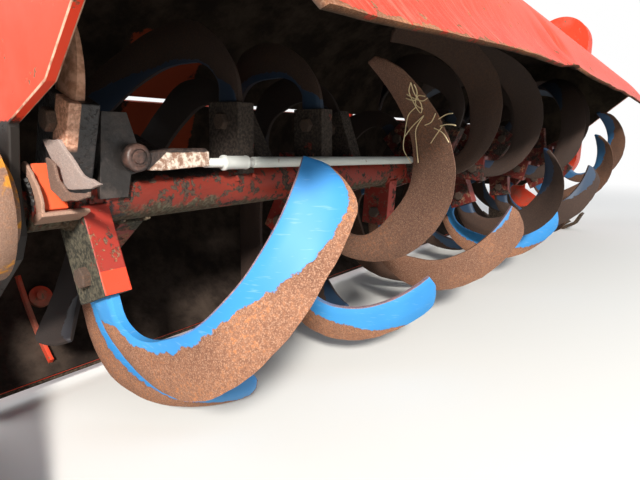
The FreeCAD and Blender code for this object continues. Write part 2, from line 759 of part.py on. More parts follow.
# Rear board: rolled sheet, outer ribs with a toe bar, hinges, and one long pin held by lugs on the hood
board_radius = size("hood_radius") - size("board_step")
board_outer = board_radius + size("board_thick")
hinge_radius = board_outer + size("hinge_offset")
hinge_y, hinge_z = at(HINGE_ANGLE, hinge_radius)
pin_y = f"axis_y + {hinge_y}"
pin_z = f"axis_height + {hinge_z}"
hinge_pin = rod("hinge_pin", "pin_radius", "hood_length", x="plate_near_x", y=pin_y, z=pin_z)
board_x = near_x + size("board_end_gap")
board_length = hood_length - 2 * size("board_end_gap")
rear_board = rolled("rear_board", board_radius, size("board_thick"), BOARD_LOW_ANGLE, BOARD_TOP_ANGLE,
                    board_x, board_length)


def ring(centre, radius, first, last, count):
    """Points round another centre than the rotor's axis."""
    return [(centre[0] + y, centre[1] + z) for y, z in arc(radius, first, last, count)]


seat_outer = board_outer + size("seat_gap")
strap_outline = arc(seat_outer, HINGE_ANGLE - 6.5, HINGE_ANGLE, 4) + [
    (hinge_y - 2.0, hinge_z),
    at(HINGE_ANGLE - 2.0, hinge_radius + 2.0),
    at(HINGE_ANGLE - 6.5, seat_outer + 5.0),
]
lug_outline = ring((hinge_y, hinge_z), size("lug_radius"), HINGE_ANGLE - 170, HINGE_ANGLE + 70, 9) + arc(
    hood_outer + size("seat_gap"), HOOD_REAR_ANGLE + 6.0, HOOD_REAR_ANGLE + 0.4, 4)
hinge_parts = []
lugs = []
for n, share in enumerate((0.03, 0.26, 0.49, 0.72, 0.93)):
    knuckle_x = near_x + share * hood_length
    hinge_parts.append(join(f"hinge_{n}", [
        rod(f"knuckle_{n}", "knuckle_radius", "knuckle_length", x=str(knuckle_x), y=pin_y, z=pin_z),
        plate(f"strap_{n}", strap_outline, size("knuckle_length"), knuckle_x),
    ]))
    lugs.append(plate(f"lug_{n}", lug_outline, size("lug_thick"),
                      knuckle_x + size("knuckle_length") + size("lug_gap")))
pin_bore = rod("pin_bore", "pin_radius + pin_play", "hood_length", x="plate_near_x", y=pin_y,
               z=pin_z)
lug_bore = rod("lug_bore", "pin_radius + pin_play", "hood_length", x="plate_near_x", y=pin_y,
               z=pin_z)
board_hinges = cut("board_hinges", compound("hinge_set", hinge_parts), pin_bore)
hinge_lugs = cut("hinge_lugs", compound("lug_plates", lugs), lug_bore)

frame_parts = []
toe_half = math.degrees((size("toe_radius") + size("seat_gap")) / seat_outer)
for n, share in enumerate((0.04, 0.35, 0.65, 0.96)):
    rib_x = board_x + share * (board_length - size("rib_thick"))
    frame_parts.append(rolled(f"rib_{n}", seat_outer, size("rib_depth"), BOARD_LOW_ANGLE + 2 * toe_half,
                              HINGE_ANGLE - 9.0, rib_x, size("rib_thick")))
toe_y, toe_z = at(BOARD_LOW_ANGLE + toe_half, seat_outer + size("toe_radius"))
frame_parts.append(rod("toe_bar", "toe_radius", str(board_length), x=str(board_x), y=f"axis_y + {toe_y}",
                       z=f"axis_height + {toe_z}"))
board_frame = compound("board_frame", frame_parts)

rib_x = near_x + size("inner_rib_inset")
rib_in = board_radius - size("inner_rib_depth") - size("seat_gap")
inner_rib = rolled("inner_rib", rib_in, size("inner_rib_depth"), BOARD_LOW_ANGLE + 3.0, -25.0, rib_x,
                   size("rib_thick") * 0.6)
eye_seat = math.sqrt((board_radius - size("seat_gap")) ** 2 - size("eye_radius") ** 2) - size("eye_thick")
eye_y, eye_height = at(EYE_ANGLE, eye_seat)
eye_spot = FreeCAD.Vector(rib_x + size("eye_inset"), axis_y + eye_y, axis_z + eye_height)
outwards = FreeCAD.Vector(0, eye_y, eye_height)
outwards.normalize()
board_eye = join("board_eye", [
    shape_part("eye_disc", Part.makeCylinder(size("eye_radius"), size("eye_thick"), eye_spot, outwards)),
    shape_part("eye_bolt", Part.makeCylinder(size("eye_radius") * 0.45, size("eye_thick") * 1.5,
                                             eye_spot - outwards * size("eye_thick"), outwards)),
])
board_inner = compound("board_inner", [inner_rib, board_eye])

doc.recompute()

NODES = {
    "rotor_tube": rotor_tube,
    "tines_right": doc.getObject("tines_right"),
    "tines_left": doc.getObject("tines_left"),
    "eye_lug": eye_lug,
    "link_rod": link_rod,
    "hood_sheet": hood_sheet,
    "hood_bands": hood_bands,
    "side_plate_near": doc.getObject("side_plate_near"),
    "side_plate_far": doc.getObject("side_plate_far"),
    "bearing_near": bearing_near,
    "drive_case": drive_case,
    "input_shaft": input_shaft,
    "top_beam": top_beam,
    "skid_near": doc.getObject("skid_near"),
    "skid_far": doc.getObject("skid_far"),
    "hinge_pin": hinge_pin,
    "hinge_lugs": hinge_lugs,
    "rear_board": rear_board,
    "board_frame": board_frame,
    "board_hinges": board_hinges,
    "board_inner": board_inner,
}

for obj in doc.Objects:
    if "Invalid" in obj.State or "Error" in obj.State:
        raise RuntimeError(f"{obj.Name}: {obj.State}")
os.makedirs("parts", exist_ok=True)
for node, obj in NODES.items():
    if obj.Shape.isNull() or not obj.Shape.isValid():
        raise RuntimeError(f"{node} has no valid shape")
    obj.Label = node
    obj.Shape.exportStep(f"parts/{node}.step")
    bounds = obj.Shape.BoundBox
    print(f"{node}: {len(obj.Shape.Solids)} solids, {obj.Shape.Volume / 1e3:.0f} cm3,"
          f" x {bounds.XMin:.0f}..{bounds.XMax:.0f}, y {bounds.YMin:.1f}..{bounds.YMax:.1f},"
          f" z {bounds.ZMin:.1f}..{bounds.ZMax:.0f}")
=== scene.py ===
import bpy
import math
import random
from mathutils import Matrix, Vector, noise


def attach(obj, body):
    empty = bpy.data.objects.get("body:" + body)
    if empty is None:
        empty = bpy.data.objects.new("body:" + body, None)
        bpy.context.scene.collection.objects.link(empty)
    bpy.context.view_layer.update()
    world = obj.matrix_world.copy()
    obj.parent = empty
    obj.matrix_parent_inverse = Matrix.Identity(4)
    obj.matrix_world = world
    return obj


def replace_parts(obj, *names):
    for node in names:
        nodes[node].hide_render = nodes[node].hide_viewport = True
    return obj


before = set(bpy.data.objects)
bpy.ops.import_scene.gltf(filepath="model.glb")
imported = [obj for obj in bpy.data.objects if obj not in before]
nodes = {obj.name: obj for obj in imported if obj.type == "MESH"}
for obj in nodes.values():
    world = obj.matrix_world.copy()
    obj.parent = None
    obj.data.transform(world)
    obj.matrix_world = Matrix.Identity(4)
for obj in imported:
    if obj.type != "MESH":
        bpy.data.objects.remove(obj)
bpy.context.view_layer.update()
print("stage: frame loaded")

axisY, axisZ = -0.009, 0.275  # the rotor's axis, metres
rng = random.Random(7)


# shader expressions
class Term:  # wraps one output socket so that maths on it reads as an expression
    def __init__(self, graph, socket):
        self.graph = graph
        self.socket = socket

    def maths(self, operation, *others):
        node = self.graph.tree.nodes.new("ShaderNodeMath")
        node.operation = operation
        for index, value in enumerate((self,) + others):
            self.graph.feed(node.inputs[index], value)
        return Term(self.graph, node.outputs[0])

    def __add__(self, other):
        return self.maths("ADD", other)

    def __sub__(self, other):
        return self.maths("SUBTRACT", other)

    def __mul__(self, other):
        return self.maths("MULTIPLY", other)

    def __radd__(self, other):
        return self.maths("ADD", other)

    def __rmul__(self, other):
        return self.maths("MULTIPLY", other)

    def __rsub__(self, other):
        return self.graph.constant(other).maths("SUBTRACT", self)

    def over(self, low, high):  # 0 below low, 1 above high, smooth between
        node = self.graph.tree.nodes.new("ShaderNodeMapRange")
        node.interpolation_type = "SMOOTHSTEP"
        for index, value in enumerate((self, low, high)):
            self.graph.feed(node.inputs[index], value)
        return Term(self.graph, node.outputs[0])

    def smallest(self, other):
        return self.maths("MINIMUM", other)

    def largest(self, other):
        return self.maths("MAXIMUM", other)


class Graph:
    def __init__(self, name):
        self.material = bpy.data.materials.new(name)
        self.material.use_nodes = True
        self.tree = self.material.node_tree
        self.shader = self.tree.nodes["Principled BSDF"]
        self.place = self.node("ShaderNodeTexCoord", output="Object")

    def feed(self, socket, value):
        if isinstance(value, Term):
            self.tree.links.new(value.socket, socket)
        elif value is not None:
            socket.default_value = value

    def node(self, kind, settings=None, inputs=None, output=0):
        node = self.tree.nodes.new(kind)
        for key, value in (settings or {}).items():
            setattr(node, key, value)
        for key, value in (inputs or {}).items():
            self.feed(node.inputs[key], value)
        return Term(self, node.outputs[output])

    def constant(self, value):
        node = self.tree.nodes.new("ShaderNodeValue")
        node.outputs[0].default_value = value
        return Term(self, node.outputs[0])

    def noise(self, scale, detail=4.0, rough=0.55, stretch=None, shift=0.0):
        place = self.place
        if stretch or shift:
            place = self.node("ShaderNodeMapping", {}, {"Vector": place, "Scale": stretch or (1, 1, 1),
                                                        "Location": (shift, shift, shift)})
        return self.node("ShaderNodeTexNoise", {}, {"Vector": place, "Scale": scale, "Detail": detail,
                                                    "Roughness": rough})

    def mix(self, factor, first, second):
        node = self.tree.nodes.new("ShaderNodeMix")
        node.data_type = "RGBA"
        node.clamp_factor = True
        self.feed(node.inputs[0], factor)
        for index, colour in ((6, first), (7, second)):  # the node's two colour sockets
            self.feed(node.inputs[index], colour if isinstance(colour, Term) else (*colour, 1.0))
        return Term(self, node.outputs[2])

    def split(self, vector):
        node = self.tree.nodes.new("ShaderNodeSeparateXYZ")
        self.feed(node.inputs[0], vector)
        return [Term(self, output) for output in node.outputs]

    def attribute(self, name):
        return self.node("ShaderNodeAttribute", {"attribute_name": name}, output="Fac")

    def fromAxis(self):  # how far a point is from the rotor's axis
        y, z = self.split(self.place)[1:]
        fromY, fromZ = y - axisY, z - axisZ
        return (fromY * fromY + fromZ * fromZ).maths("SQRT")

    def finish(self, colour, roughness, height=None, depth=0.001, metallic=0.0, gloss=0.5):
        self.feed(self.shader.inputs["Base Color"], colour)
        self.feed(self.shader.inputs["Roughness"], roughness)
        self.feed(self.shader.inputs["Metallic"], metallic)
        self.shader.inputs["Specular IOR Level"].default_value = gloss
        if height is not None:
            relief = self.tree.nodes.new("ShaderNodeBump")
            relief.inputs["Distance"].default_value = depth
            self.feed(relief.inputs["Height"], height)
            self.tree.links.new(relief.outputs[0], self.shader.inputs["Normal"])
        return self.material


rustDark, rustMid = (0.150, 0.062, 0.036), (0.33, 0.150, 0.085)
rustPale, rustOrange = (0.56, 0.34, 0.23), (0.62, 0.21, 0.05)
soilDark, soilPale = (0.034, 0.026, 0.020), (0.23, 0.19, 0.14)
paintRed = (0.82, 0.050, 0.016)
hubDark = {"top": 0.066, "inner": 0.110, "outer": 0.125, "near": -0.89, "far": -0.88}  # metres; the neck of the near end plate is painted near black below the top line, between the two radii


def rustLook(g, pale=0.35):  # colour and height of rust with flecks
    coarse = g.noise(13, 5)
    fine = g.noise(330, 4, 0.7, shift=4.0)
    grain = g.noise(900, 2, 0.7, shift=9.0)
    colour = g.mix(coarse.over(0.30, 0.70) * 0.5 + fine.over(0.35, 0.65) * 0.5, rustDark, rustMid)
    colour = g.mix(grain.over(0.50, 0.64) * pale, colour, rustPale)
    colour = g.mix(fine.over(0.54, 0.62) * coarse.over(0.40, 0.65) * 0.5, colour, rustOrange)
    return colour, fine * 0.6 + grain * 0.4


def dustLook(g, colour, amount, tone=soilPale):  # pale dirt in patches
    patches = g.noise(9, 6, 0.65, shift=2.0)
    return g.mix(patches.over(0.42, 0.75) * amount, colour, tone)


def nearHub(g, blur):  # 1 on the neck of the near end plate, below a straight line round the hub, where it is painted near black
    x, _, z = g.split(g.place)
    below = (hubDark["top"] - (z - axisZ) + blur).over(0.0, 0.003)
    within = 1.0 - g.fromAxis().over(hubDark["inner"], hubDark["outer"])
    return below * within * (1.0 - x.over(hubDark["near"], hubDark["far"]))


def paintMaterial(name, tint=paintRed, chips=0.5, dirt=0.3, fade=0.25, inner=None, soilBelow=None):
    g = Graph(name)
    x, y, z = g.split(g.place)
    spots = g.noise(75, 6, 0.6)
    speck = g.noise(260, 3, shift=3.0)
    broad = g.noise(5, 3, shift=6.0)
    rust, rustHeight = rustLook(g)
    faded = tuple(min(1.0, part * 1.02 + 0.02) for part in tint)
    paint = g.mix(broad.over(0.3, 0.7) * fade, tint, faded)
    edge = 0.675 - 0.12 * chips
    chipped = (spots * 0.7 + speck * 0.3 + broad * 0.12 - 0.06).over(edge - 0.03, edge)
    back = y.over(-0.20, 0.10)
    colour = dustLook(g, g.mix(chipped, paint, rust), back * 0.35 + dirt)
    rough = 0.42 + chipped * 0.40 + broad * 0.12
    if soilBelow:  # dried mud on what hangs low
        mud = (soilBelow - z + (spots - 0.5) * 0.03).over(-0.004, 0.004)
        colour = g.mix(mud, colour, g.mix(speck.over(0.35, 0.7), soilDark, (0.12, 0.085, 0.060)))
        rough = (rough + mud * 0.5).smallest(0.95)
    if inner:  # the side that faces the rotor, beyond a place along it, is caked with soil
        limit, way = inner
        caked = ((x - limit) * way).over(-0.0008, 0.0008)
        crust = g.noise(16, 7, 0.7, shift=12.0)
        colour = g.mix(caked, colour, g.mix(crust.over(0.35, 0.7), soilDark, (0.10, 0.075, 0.055)))
        rough = rough * (1.0 - caked) + caked * 0.9
        # the neck round the hub is painted near black
        colour = g.mix(nearHub(g, (spots - 0.5) * 0.02), colour, (0.020, 0.016, 0.014))
    height = (1.0 - chipped) * 0.8 + rustHeight * chipped * 0.5 + speck * 0.06
    return g.finish(colour, rough, height, 0.0006, gloss=0.18)


def tubeMaterial():  # chipped paint darkened as painted shade, lighter over the middle as painted light and near black further along as painted shade; black grease near the lug and on top, dirt below
    g = Graph("tubePaint")
    x, _, z = g.split(g.place)
    up = (z - axisZ) * 40.0  # about 1 at the top of the tube
    spots = g.noise(70, 6, 0.62)
    speck = g.noise(240, 3, shift=3.0)
    broad = g.noise(6, 3, shift=6.0)
    # the red paint darkened as painted shade of the hood
    paint = g.mix(broad.over(0.3, 0.7), (0.17, 0.022, 0.014), (0.27, 0.032, 0.017))
    # painted light over the middle of the tube
    paint = g.mix(x.over(-0.72, -0.50) * 0.5, paint, (0.36, 0.036, 0.018))
    # painted shade towards the far end
    paint = g.mix(x.over(-0.35, -0.10) * 0.6, paint, (0.045, 0.010, 0.008))
    chips = (spots * 0.72 + speck * 0.28 + broad * 0.10).over(0.575, 0.59)
    colour = g.mix(chips, paint, g.mix(speck.over(0.4, 0.6), (0.022, 0.020, 0.018), (0.085, 0.050, 0.036)))
    soil = (g.noise(26, 6, 0.65, shift=2.0) - up * 0.22).over(0.60, 0.68)
    dirt = g.mix(speck.over(0.4, 0.65), (0.050, 0.046, 0.030), (0.13, 0.115, 0.080))
    colour = g.mix(soil * 0.9, colour, dirt)
    near = 1.0 - x.over(-0.84, -0.78)
    top = up.over(0.30, 0.75) * (1.0 - x.over(-0.74, -0.62))
    slick = (g.noise(24, 5, 0.7, shift=11.0) + near * 0.14 + top * 0.30).over(0.66, 0.72)
    colour = g.mix(slick, colour, (0.016, 0.013, 0.012))
    rough = (0.52 + chips * 0.3 + soil * 0.4) * (1.0 - slick) + slick * 0.32
    height = (1.0 - chips) * 0.6 + soil * spots * 1.4 + speck * 0.1
    return g.finish(colour, rough.smallest(0.95), height, 0.0009, gloss=0.35)


def socketMaterial():  # each socket by its own crust of soil, with painted light and painted shade on its wall towards the sweep
    g = Graph("socketPaint")
    crust = g.attribute("crust")
    paintedLight = g.attribute("paintedLight")
    spots = g.noise(80, 6, 0.62)
    speck = g.noise(300, 3, shift=3.0)
    lumps = g.noise(38, 6, 0.7, shift=7.0)
    x, y, z = g.split(g.place)
    front, up = axisY - y, z - axisZ
    # painted light: dark red as shade, bright red as sunlight
    paint = g.mix(paintedLight, (0.27, 0.024, 0.016), (0.84, 0.060, 0.020))
    # painted shade towards the far end
    paint = g.mix(x.over(-0.35, -0.10) * 0.6, paint, (0.045, 0.010, 0.008))
    chips = (spots * 0.7 + speck * 0.3 - paintedLight * 0.12).over(0.53, 0.56)
    rust = rustLook(g)[0]
    colour = g.mix(chips, paint, g.mix(lumps.over(0.45, 0.6), rust, (0.03, 0.026, 0.022)))
    caked = (lumps + crust * 0.40 - 0.17).over(0.50, 0.58)
    deep = x.over(-0.80, -0.76)  # olive dirt at the near end, painted darker further in as shade under the hood
    olive = g.mix(speck.over(0.38, 0.66), (0.030, 0.028, 0.020), (0.115, 0.100, 0.068))
    soilInShade = g.mix(speck.over(0.35, 0.7), (0.024, 0.018, 0.015), (0.085, 0.062, 0.050))
    colour = g.mix(caked, colour, g.mix(deep, olive, soilInShade))
    greased = crust.over(1.5, 1.6)  # a crust of 2 stands for black grease
    grease = g.mix(lumps.over(0.45, 0.65), (0.014, 0.012, 0.012), (0.060, 0.046, 0.042))
    colour = g.mix(greased, colour, grease)
    # painted sunlit rust standing in for the tine's shank over the greased socket
    sunlitShank = greased * (front - up * 0.404 - 0.003).over(0.0, 0.0015) * up.over(0.040, 0.046)
    sunlitShank = sunlitShank * (1.0 - x.over(-0.8615, -0.8605))  # painted sunlit rust of the tine's shank on the near corner of that socket
    sunlitShankRust = g.mix(speck.over(0.35, 0.65), (0.50, 0.23, 0.145), (0.88, 0.50, 0.36))
    colour = g.mix(sunlitShank, colour, sunlitShankRust)
    rough = (0.46 + chips * 0.35 + caked * 0.5).smallest(0.95) * (1.0 - greased) + greased * 0.42
    height = (1.0 - chips) * 0.4 + caked * (lumps * 2.0 + speck * 0.5)
    return g.finish(colour, rough, height, 0.0014)


def bladeMaterial():  # blue paint worn off from the outer edge inwards, with painted shade deep under the hood and painted sunlit rust on one tine
    g = Graph("blade")
    along = g.attribute("along")
    across = g.attribute("across")
    worn = g.attribute("worn")
    gloom = g.attribute("gloom")
    jag = g.noise(26, 6, 0.7)
    fine = g.noise(150, 4, shift=5.0)
    rust, rustHeight = rustLook(g, 0.55)
    line = 0.82 - 0.68 * along.over(0.45, 0.86) + worn - 0.85 * (1.0 - along.over(0.015, 0.10))
    bare = (line + (jag - 0.5) * 0.32 + (fine - 0.5) * 0.20 - across).over(-0.012, 0.012)
    bare = bare.largest(across.over(0.972, 0.985) * along.over(0.30, 0.55) * 0.8)
    blue = g.mix(g.noise(7, 3, shift=8.0).over(0.3, 0.7), (0.028, 0.235, 0.60), (0.050, 0.31, 0.70))
    scratch = g.noise(60, 2, 0.5, (1.0, 1.0, 9.0)).over(0.62, 0.70)
    blue = g.mix(scratch * 0.22, blue, (0.30, 0.48, 0.62))
    colour = g.mix(bare, blue, rust)
    # painted shade, deeper as the painted shading rises
    colour = g.mix(gloom.largest(0.0).maths("POWER", 0.55), colour, (0.017, 0.012, 0.011))
    paintedSunRust = g.mix(fine.over(0.35, 0.65), (0.52, 0.24, 0.15), (0.90, 0.50, 0.36))
    colour = g.mix((0.0 - gloom) * 0.8, colour, paintedSunRust)  # a painted shading below 0 stands for painted sunlit rust
    return g.finish(colour, 0.54 + bare * 0.30, (1.0 - bare) * 0.7 + rustHeight * bare * 0.6, 0.0006)


def rustMaterial(name, moss=0.0, tone=None, weight=0.5):
    g = Graph(name)
    colour, height = rustLook(g, 0.8)
    if tone:
        colour = g.mix(weight + g.noise(40, 4, shift=5.5) * 0.4, colour, tone)
    if moss:
        patch = (g.noise(60, 4, shift=2.5) * g.noise(8, 2, shift=7.5)).over(0.26, 0.31) * moss
        colour = g.mix(patch, colour, (0.66, 0.27, 0.02))
    return g.finish(colour, 0.82, height, 0.001)


def strapMaterial():  # dark grease by the eye and painted shade along the top, mottled rust painted pale as sunlight on the rest
    g = Graph("strapRust")
    x, _, z = g.split(g.place)
    blotch = g.noise(120, 5, 0.7)
    edge = (g.noise(60, 4, shift=5.0) - 0.5) * 0.004
    slant = x + 0.7923 - (z - axisZ - 0.0264) * 1.205 + edge
    # mottled rust painted pale as sunlight
    pale = g.mix(blotch.over(0.42, 0.60), (0.30, 0.17, 0.12), (0.86, 0.72, 0.62))
    sunlitFront = slant.over(-0.0004, 0.0012) * (1.0 - (z - axisZ + edge).over(0.0385, 0.0398))
    colour = g.mix(sunlitFront, g.mix(blotch.over(0.4, 0.7), (0.020, 0.015, 0.014), (0.095, 0.060, 0.050)), pale)
    return g.finish(colour, 0.40 + sunlitFront * 0.35, blotch, 0.0012)


def wornEdgeMaterial():  # bare pale line along worn plate edges, painted near black on the neck round the hub like the plate
    g = Graph("wornEdge")
    broken = g.noise(90, 4)
    colour = g.mix(broken.over(0.40, 0.62), (0.66, 0.40, 0.29), (0.36, 0.15, 0.09))
    colour = g.mix(nearHub(g, (broken - 0.5) * 0.01), colour, (0.022, 0.017, 0.015))
    return g.finish(colour, 0.7, broken, 0.0005)


def greaseMaterial(name="grease", pale=(0.075, 0.058, 0.052)):
    g = Graph(name)
    lumps = g.noise(35, 6, 0.7)
    fine = g.noise(190, 4, shift=3.0)
    colour = g.mix(lumps.over(0.4, 0.65), (0.016, 0.013, 0.012), pale)
    return g.finish(colour, 0.30 + fine * 0.3, lumps * 0.7 + fine * 0.3, 0.0016)


def steelMaterial(name, tone, dull, metallic):
    g = Graph(name)
    fine = g.noise(150, 4)
    patch = g.noise(12, 4, shift=3.0)
    colour = g.mix(patch.over(0.45, 0.75) * 0.4, tone, tuple(part * 0.6 for part in tone))
    colour = g.mix(fine.over(0.66, 0.72) * 0.5, colour, rustMid)
    return g.finish(colour, dull + fine * 0.2, fine, 0.0002, metallic=metallic)


def shellMaterial(name, middle=None):  # paint outside a rolled sheet, darkened along the front strip as painted shade; soil inside, darkened as painted shade
    g = Graph(name)
    x, y, z = g.split(g.place)
    if middle:  # the radius of the sheet's middle parts the two sides
        side = 1.0 - g.fromAxis().over(middle - 0.0004, middle + 0.0004)
        rim = scrape = g.constant(0.0)
    else:
        side = g.attribute("side")
        rim = g.attribute("rim")
        scrape = g.attribute("scrape").over(0.0, 0.95)
    spots = g.noise(60, 6, 0.62)
    broad = g.noise(5, 4, 0.6, shift=6.0)
    fine = g.noise(210, 3, shift=3.0)
    crust = g.noise(16, 7, 0.7, shift=12.0)
    rust = rustLook(g)[0]
    strokes = g.noise(90, 6, 0.75, (4.0, 0.30, 0.30), shift=14.0)
    paint = g.mix(broad.over(0.3, 0.7) * 0.4, paintRed, (0.86, 0.080, 0.035))
    # painted shade along the front strip
    paint = g.mix(scrape * 0.75, paint, (0.42, 0.030, 0.014))
    paint = g.mix(strokes.over(0.46, 0.66) * scrape * 0.36, paint, (0.72, 0.28, 0.21))
    chipped = (spots * 0.8 + fine * 0.2 + broad * 0.12 + rim.over(0.86, 1.0) * 0.16 - 0.06).over(0.61, 0.63)
    outer = dustLook(g, g.mix(chipped, paint, rust), y.over(-0.20, 0.10) * 0.5 + 0.10)
    patch = (1.0 - (x + 0.555).maths("ABSOLUTE").over(0.06, 0.10)) * y.over(0.20, 0.24) * z.over(0.24, 0.32)
    keptPaint = (crust * 0.5 + patch * 0.30 + broad * 0.25).over(0.60, 0.63) * (1.0 - x.over(-0.35, -0.20))
    # soil inside, darkened as painted shade under the hood
    inner = g.mix(crust.over(0.35, 0.7), (0.020, 0.015, 0.013), (0.060, 0.044, 0.035))
    inner = g.mix(keptPaint * 0.9, inner, (0.30, 0.050, 0.022))
    colour = g.mix(side, outer, inner)
    rough = 0.36 + side * 0.50 + chipped * 0.3
    height = (1.0 - chipped) * 0.3 * (1.0 - side) + side * crust + strokes * scrape * 0.15
    return g.finish(colour, rough.smallest(0.95), height, 0.0012, gloss=0.03)


looks = {
    "hood": shellMaterial("hoodPaint"),
    "board": shellMaterial("boardPaint", 0.3175),
    "plateNear": paintMaterial("platePaintNear", chips=0.20, dirt=0.08, fade=0.15, inner=(-0.8980, 1.0)),
    "plateFar": paintMaterial("platePaintFar", chips=0.25, dirt=0.15, inner=(0.8632, -1.0)),
    "frame": paintMaterial("framePaint", chips=0.45, dirt=0.3),
    "lowFrame": paintMaterial("lowFramePaint", chips=0.45, dirt=0.3, soilBelow=0.075),
    "innerFrame": paintMaterial("innerFramePaint", (0.66, 0.060, 0.026), chips=0.7, dirt=0.5),
    "tube": tubeMaterial(),
    "socket": socketMaterial(),
    "torn": paintMaterial("tornPaint", (0.90, 0.11, 0.035), chips=0.15, dirt=0.1),
    "blade": bladeMaterial(),
    "rust": rustMaterial("rustedSteel"),
    "bolt": rustMaterial("rustedBolt", tone=(0.050, 0.040, 0.034), weight=0.66),
    "paleRust": rustMaterial("paleRust", tone=(0.42, 0.27, 0.21)),
    "greyRust": rustMaterial("greyRust", tone=(0.40, 0.35, 0.34)),
    "brownTorn": rustMaterial("brownTorn", tone=(0.16, 0.11, 0.095)),
    "hub": rustMaterial("rustedHub", moss=0.9, tone=(0.24, 0.15, 0.11)),
    "grease": greaseMaterial(),
    "brownGrease": greaseMaterial("brownGrease", (0.13, 0.070, 0.056)),
    "strap": strapMaterial(),
    "steel": steelMaterial("bareSteel", (0.80, 0.82, 0.80), 0.36, 0.25),
    # light grey rod, painted paler as sunlight
    "rod": steelMaterial("greyRod", (0.88, 0.92, 0.90), 0.42, 0.0),
    "straw": steelMaterial("straw", (0.78, 0.64, 0.40), 0.7, 0.0),
    "wornEdge": wornEdgeMaterial(),
}
print("stage: materials made")


# mesh helpers
def soften(obj, width):  # rounds the sharp edges
    bevel = obj.modifiers.new("soften", "BEVEL")
    bevel.width, bevel.segments = width, 2
    bevel.limit_method = "ANGLE"
    bevel.angle_limit = math.radians(40)
    return bevel


class Builder:  # gathers points, faces and their values for one joined mesh
    def __init__(self):
        self.points, self.faces, self.values, self.faceValues = [], [], {}, {}

    def add(self, points, faces, perFace=None, **values):
        start, startFace = len(self.points), len(self.faces)
        self.points += points
        self.faces += [tuple(start + index for index in face) for face in faces]
        for store, given, before, after in ((self.values, values, start, len(self.points)),
                                            (self.faceValues, perFace or {}, startFace, len(self.faces))):
            for key, numbers in given.items():
                store.setdefault(key, [0.0] * before).extend(numbers)
            for key in store:
                store[key] += [0.0] * (after - len(store[key]))

    def make(self, name, body, look, smooth=True, sharp=35.0, bevel=0.0):
        data = bpy.data.meshes.new(name)
        data.from_pydata([tuple(p) for p in self.points], [], self.faces)
        data.update()
        for store, domain in ((self.values, "POINT"), (self.faceValues, "FACE")):
            for key, numbers in store.items():
                data.attributes.new(key, "FLOAT", domain).data.foreach_set("value", numbers)
        obj = bpy.data.objects.new(name, data)
        bpy.context.scene.collection.objects.link(obj)
        data.materials.append(looks[look])
        if smooth:
            data.shade_smooth()
            data.set_sharp_from_angle(angle=math.radians(sharp))
        if bevel:
            soften(obj, bevel)
        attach(obj, body)
        return obj


def slab(outline, thick, matrix=None):  # a plate from an outline of (y, z), thick along x from 0
    points = [Vector((x, y, z)) for x in (0.0, thick) for y, z in outline]
    count = len(outline)
    faces = [tuple(range(count))[::-1], tuple(range(count, 2 * count))]
    faces += [(k, (k + 1) % count, count + (k + 1) % count, count + k) for k in range(count)]
    return (moved(points, matrix) if matrix else points), faces


def jagged(outline, step, amount, seed):  # breaks the long sides of an outline into torn steps
    result = []
    for n, (first, second) in enumerate(zip(outline, outline[1:] + outline[:1])):
        a, b = Vector(first), Vector(second)
        parts = max(int((b - a).length / step), 1)
        side = Vector((b[1] - a[1], a[0] - b[0])).normalized()
        for k in range(parts):
            shift = noise.noise(Vector((n * 5.3 + k * 0.9, seed * 7.7, 0.3))) * amount if k else 0.0
            result.append(tuple(a.lerp(b, k / parts) + side * shift))
    return result


def tube(path, radii, sides):  # a round bar through the points of a path
    points, faces = [], []
    for n, centre in enumerate(path):
        ahead = path[min(n + 1, len(path) - 1)] - path[max(n - 1, 0)]
        turn = ahead.to_track_quat("Z", "Y")
        for k in range(sides):
            angle = 2 * math.pi * k / sides
            out = Vector((math.cos(angle) * radii[n], math.sin(angle) * radii[n], 0))
            points.append(centre + turn @ out)
    for n in range(len(path) - 1):
        for k in range(sides):
            after = (k + 1) % sides
            faces.append((n * sides + k, n * sides + after, (n + 1) * sides + after, (n + 1) * sides + k))
    faces.append(tuple(range(sides))[::-1])
    faces.append(tuple((len(path) - 1) * sides + k for k in range(sides)))
    return points, faces


def moved(points, matrix):
    return [matrix @ p for p in points]


def stationMatrix(x, turn):  # local -Z points out along the shank, local -Y is the sweep's way
    return Matrix.Translation((x, axisY, axisZ)) @ Matrix.Rotation(math.radians(-turn), 4, "X")


# tines: smooth blades from the flat blank, rolled sideways
tineBlank = [  # reach, sweep, heading, outer side, inner side (mm, degrees)
    (43, 0, 0, 16.5, 16.5), (94, 0, 0, 16.5, 16.5), (122, 5, 25, 16, 14), (145, 23, 50, 17, 16),
    (159, 48, 68, 21, 20), (166, 76, 83, 25, 25), (166, 105, 97, 26, 26), (160, 133, 109, 26, 26),
    (148, 159, 120, 26, 26), (132, 183, 129, 25.5, 25.5), (112, 204, 137, 25, 25), (90, 223, 143, 25, 25),
    (66, 239, 148, 25, 25), (54, 246, 150, 15, 25), (45, 251, 152, -4, 25),
]
tineSizes = {"thick": 12.0, "tip": 7.0, "bendStart": 81.0, "bendRadius": 162.0, "bendLine": 12.0, "root": 94.0,
             "nick": 1.2, "tipThin": 0.55, "rimThin": 0.62, "edgeShare": 0.32, "edgeThin": 0.80,
             "rows": 52, "columns": 8}
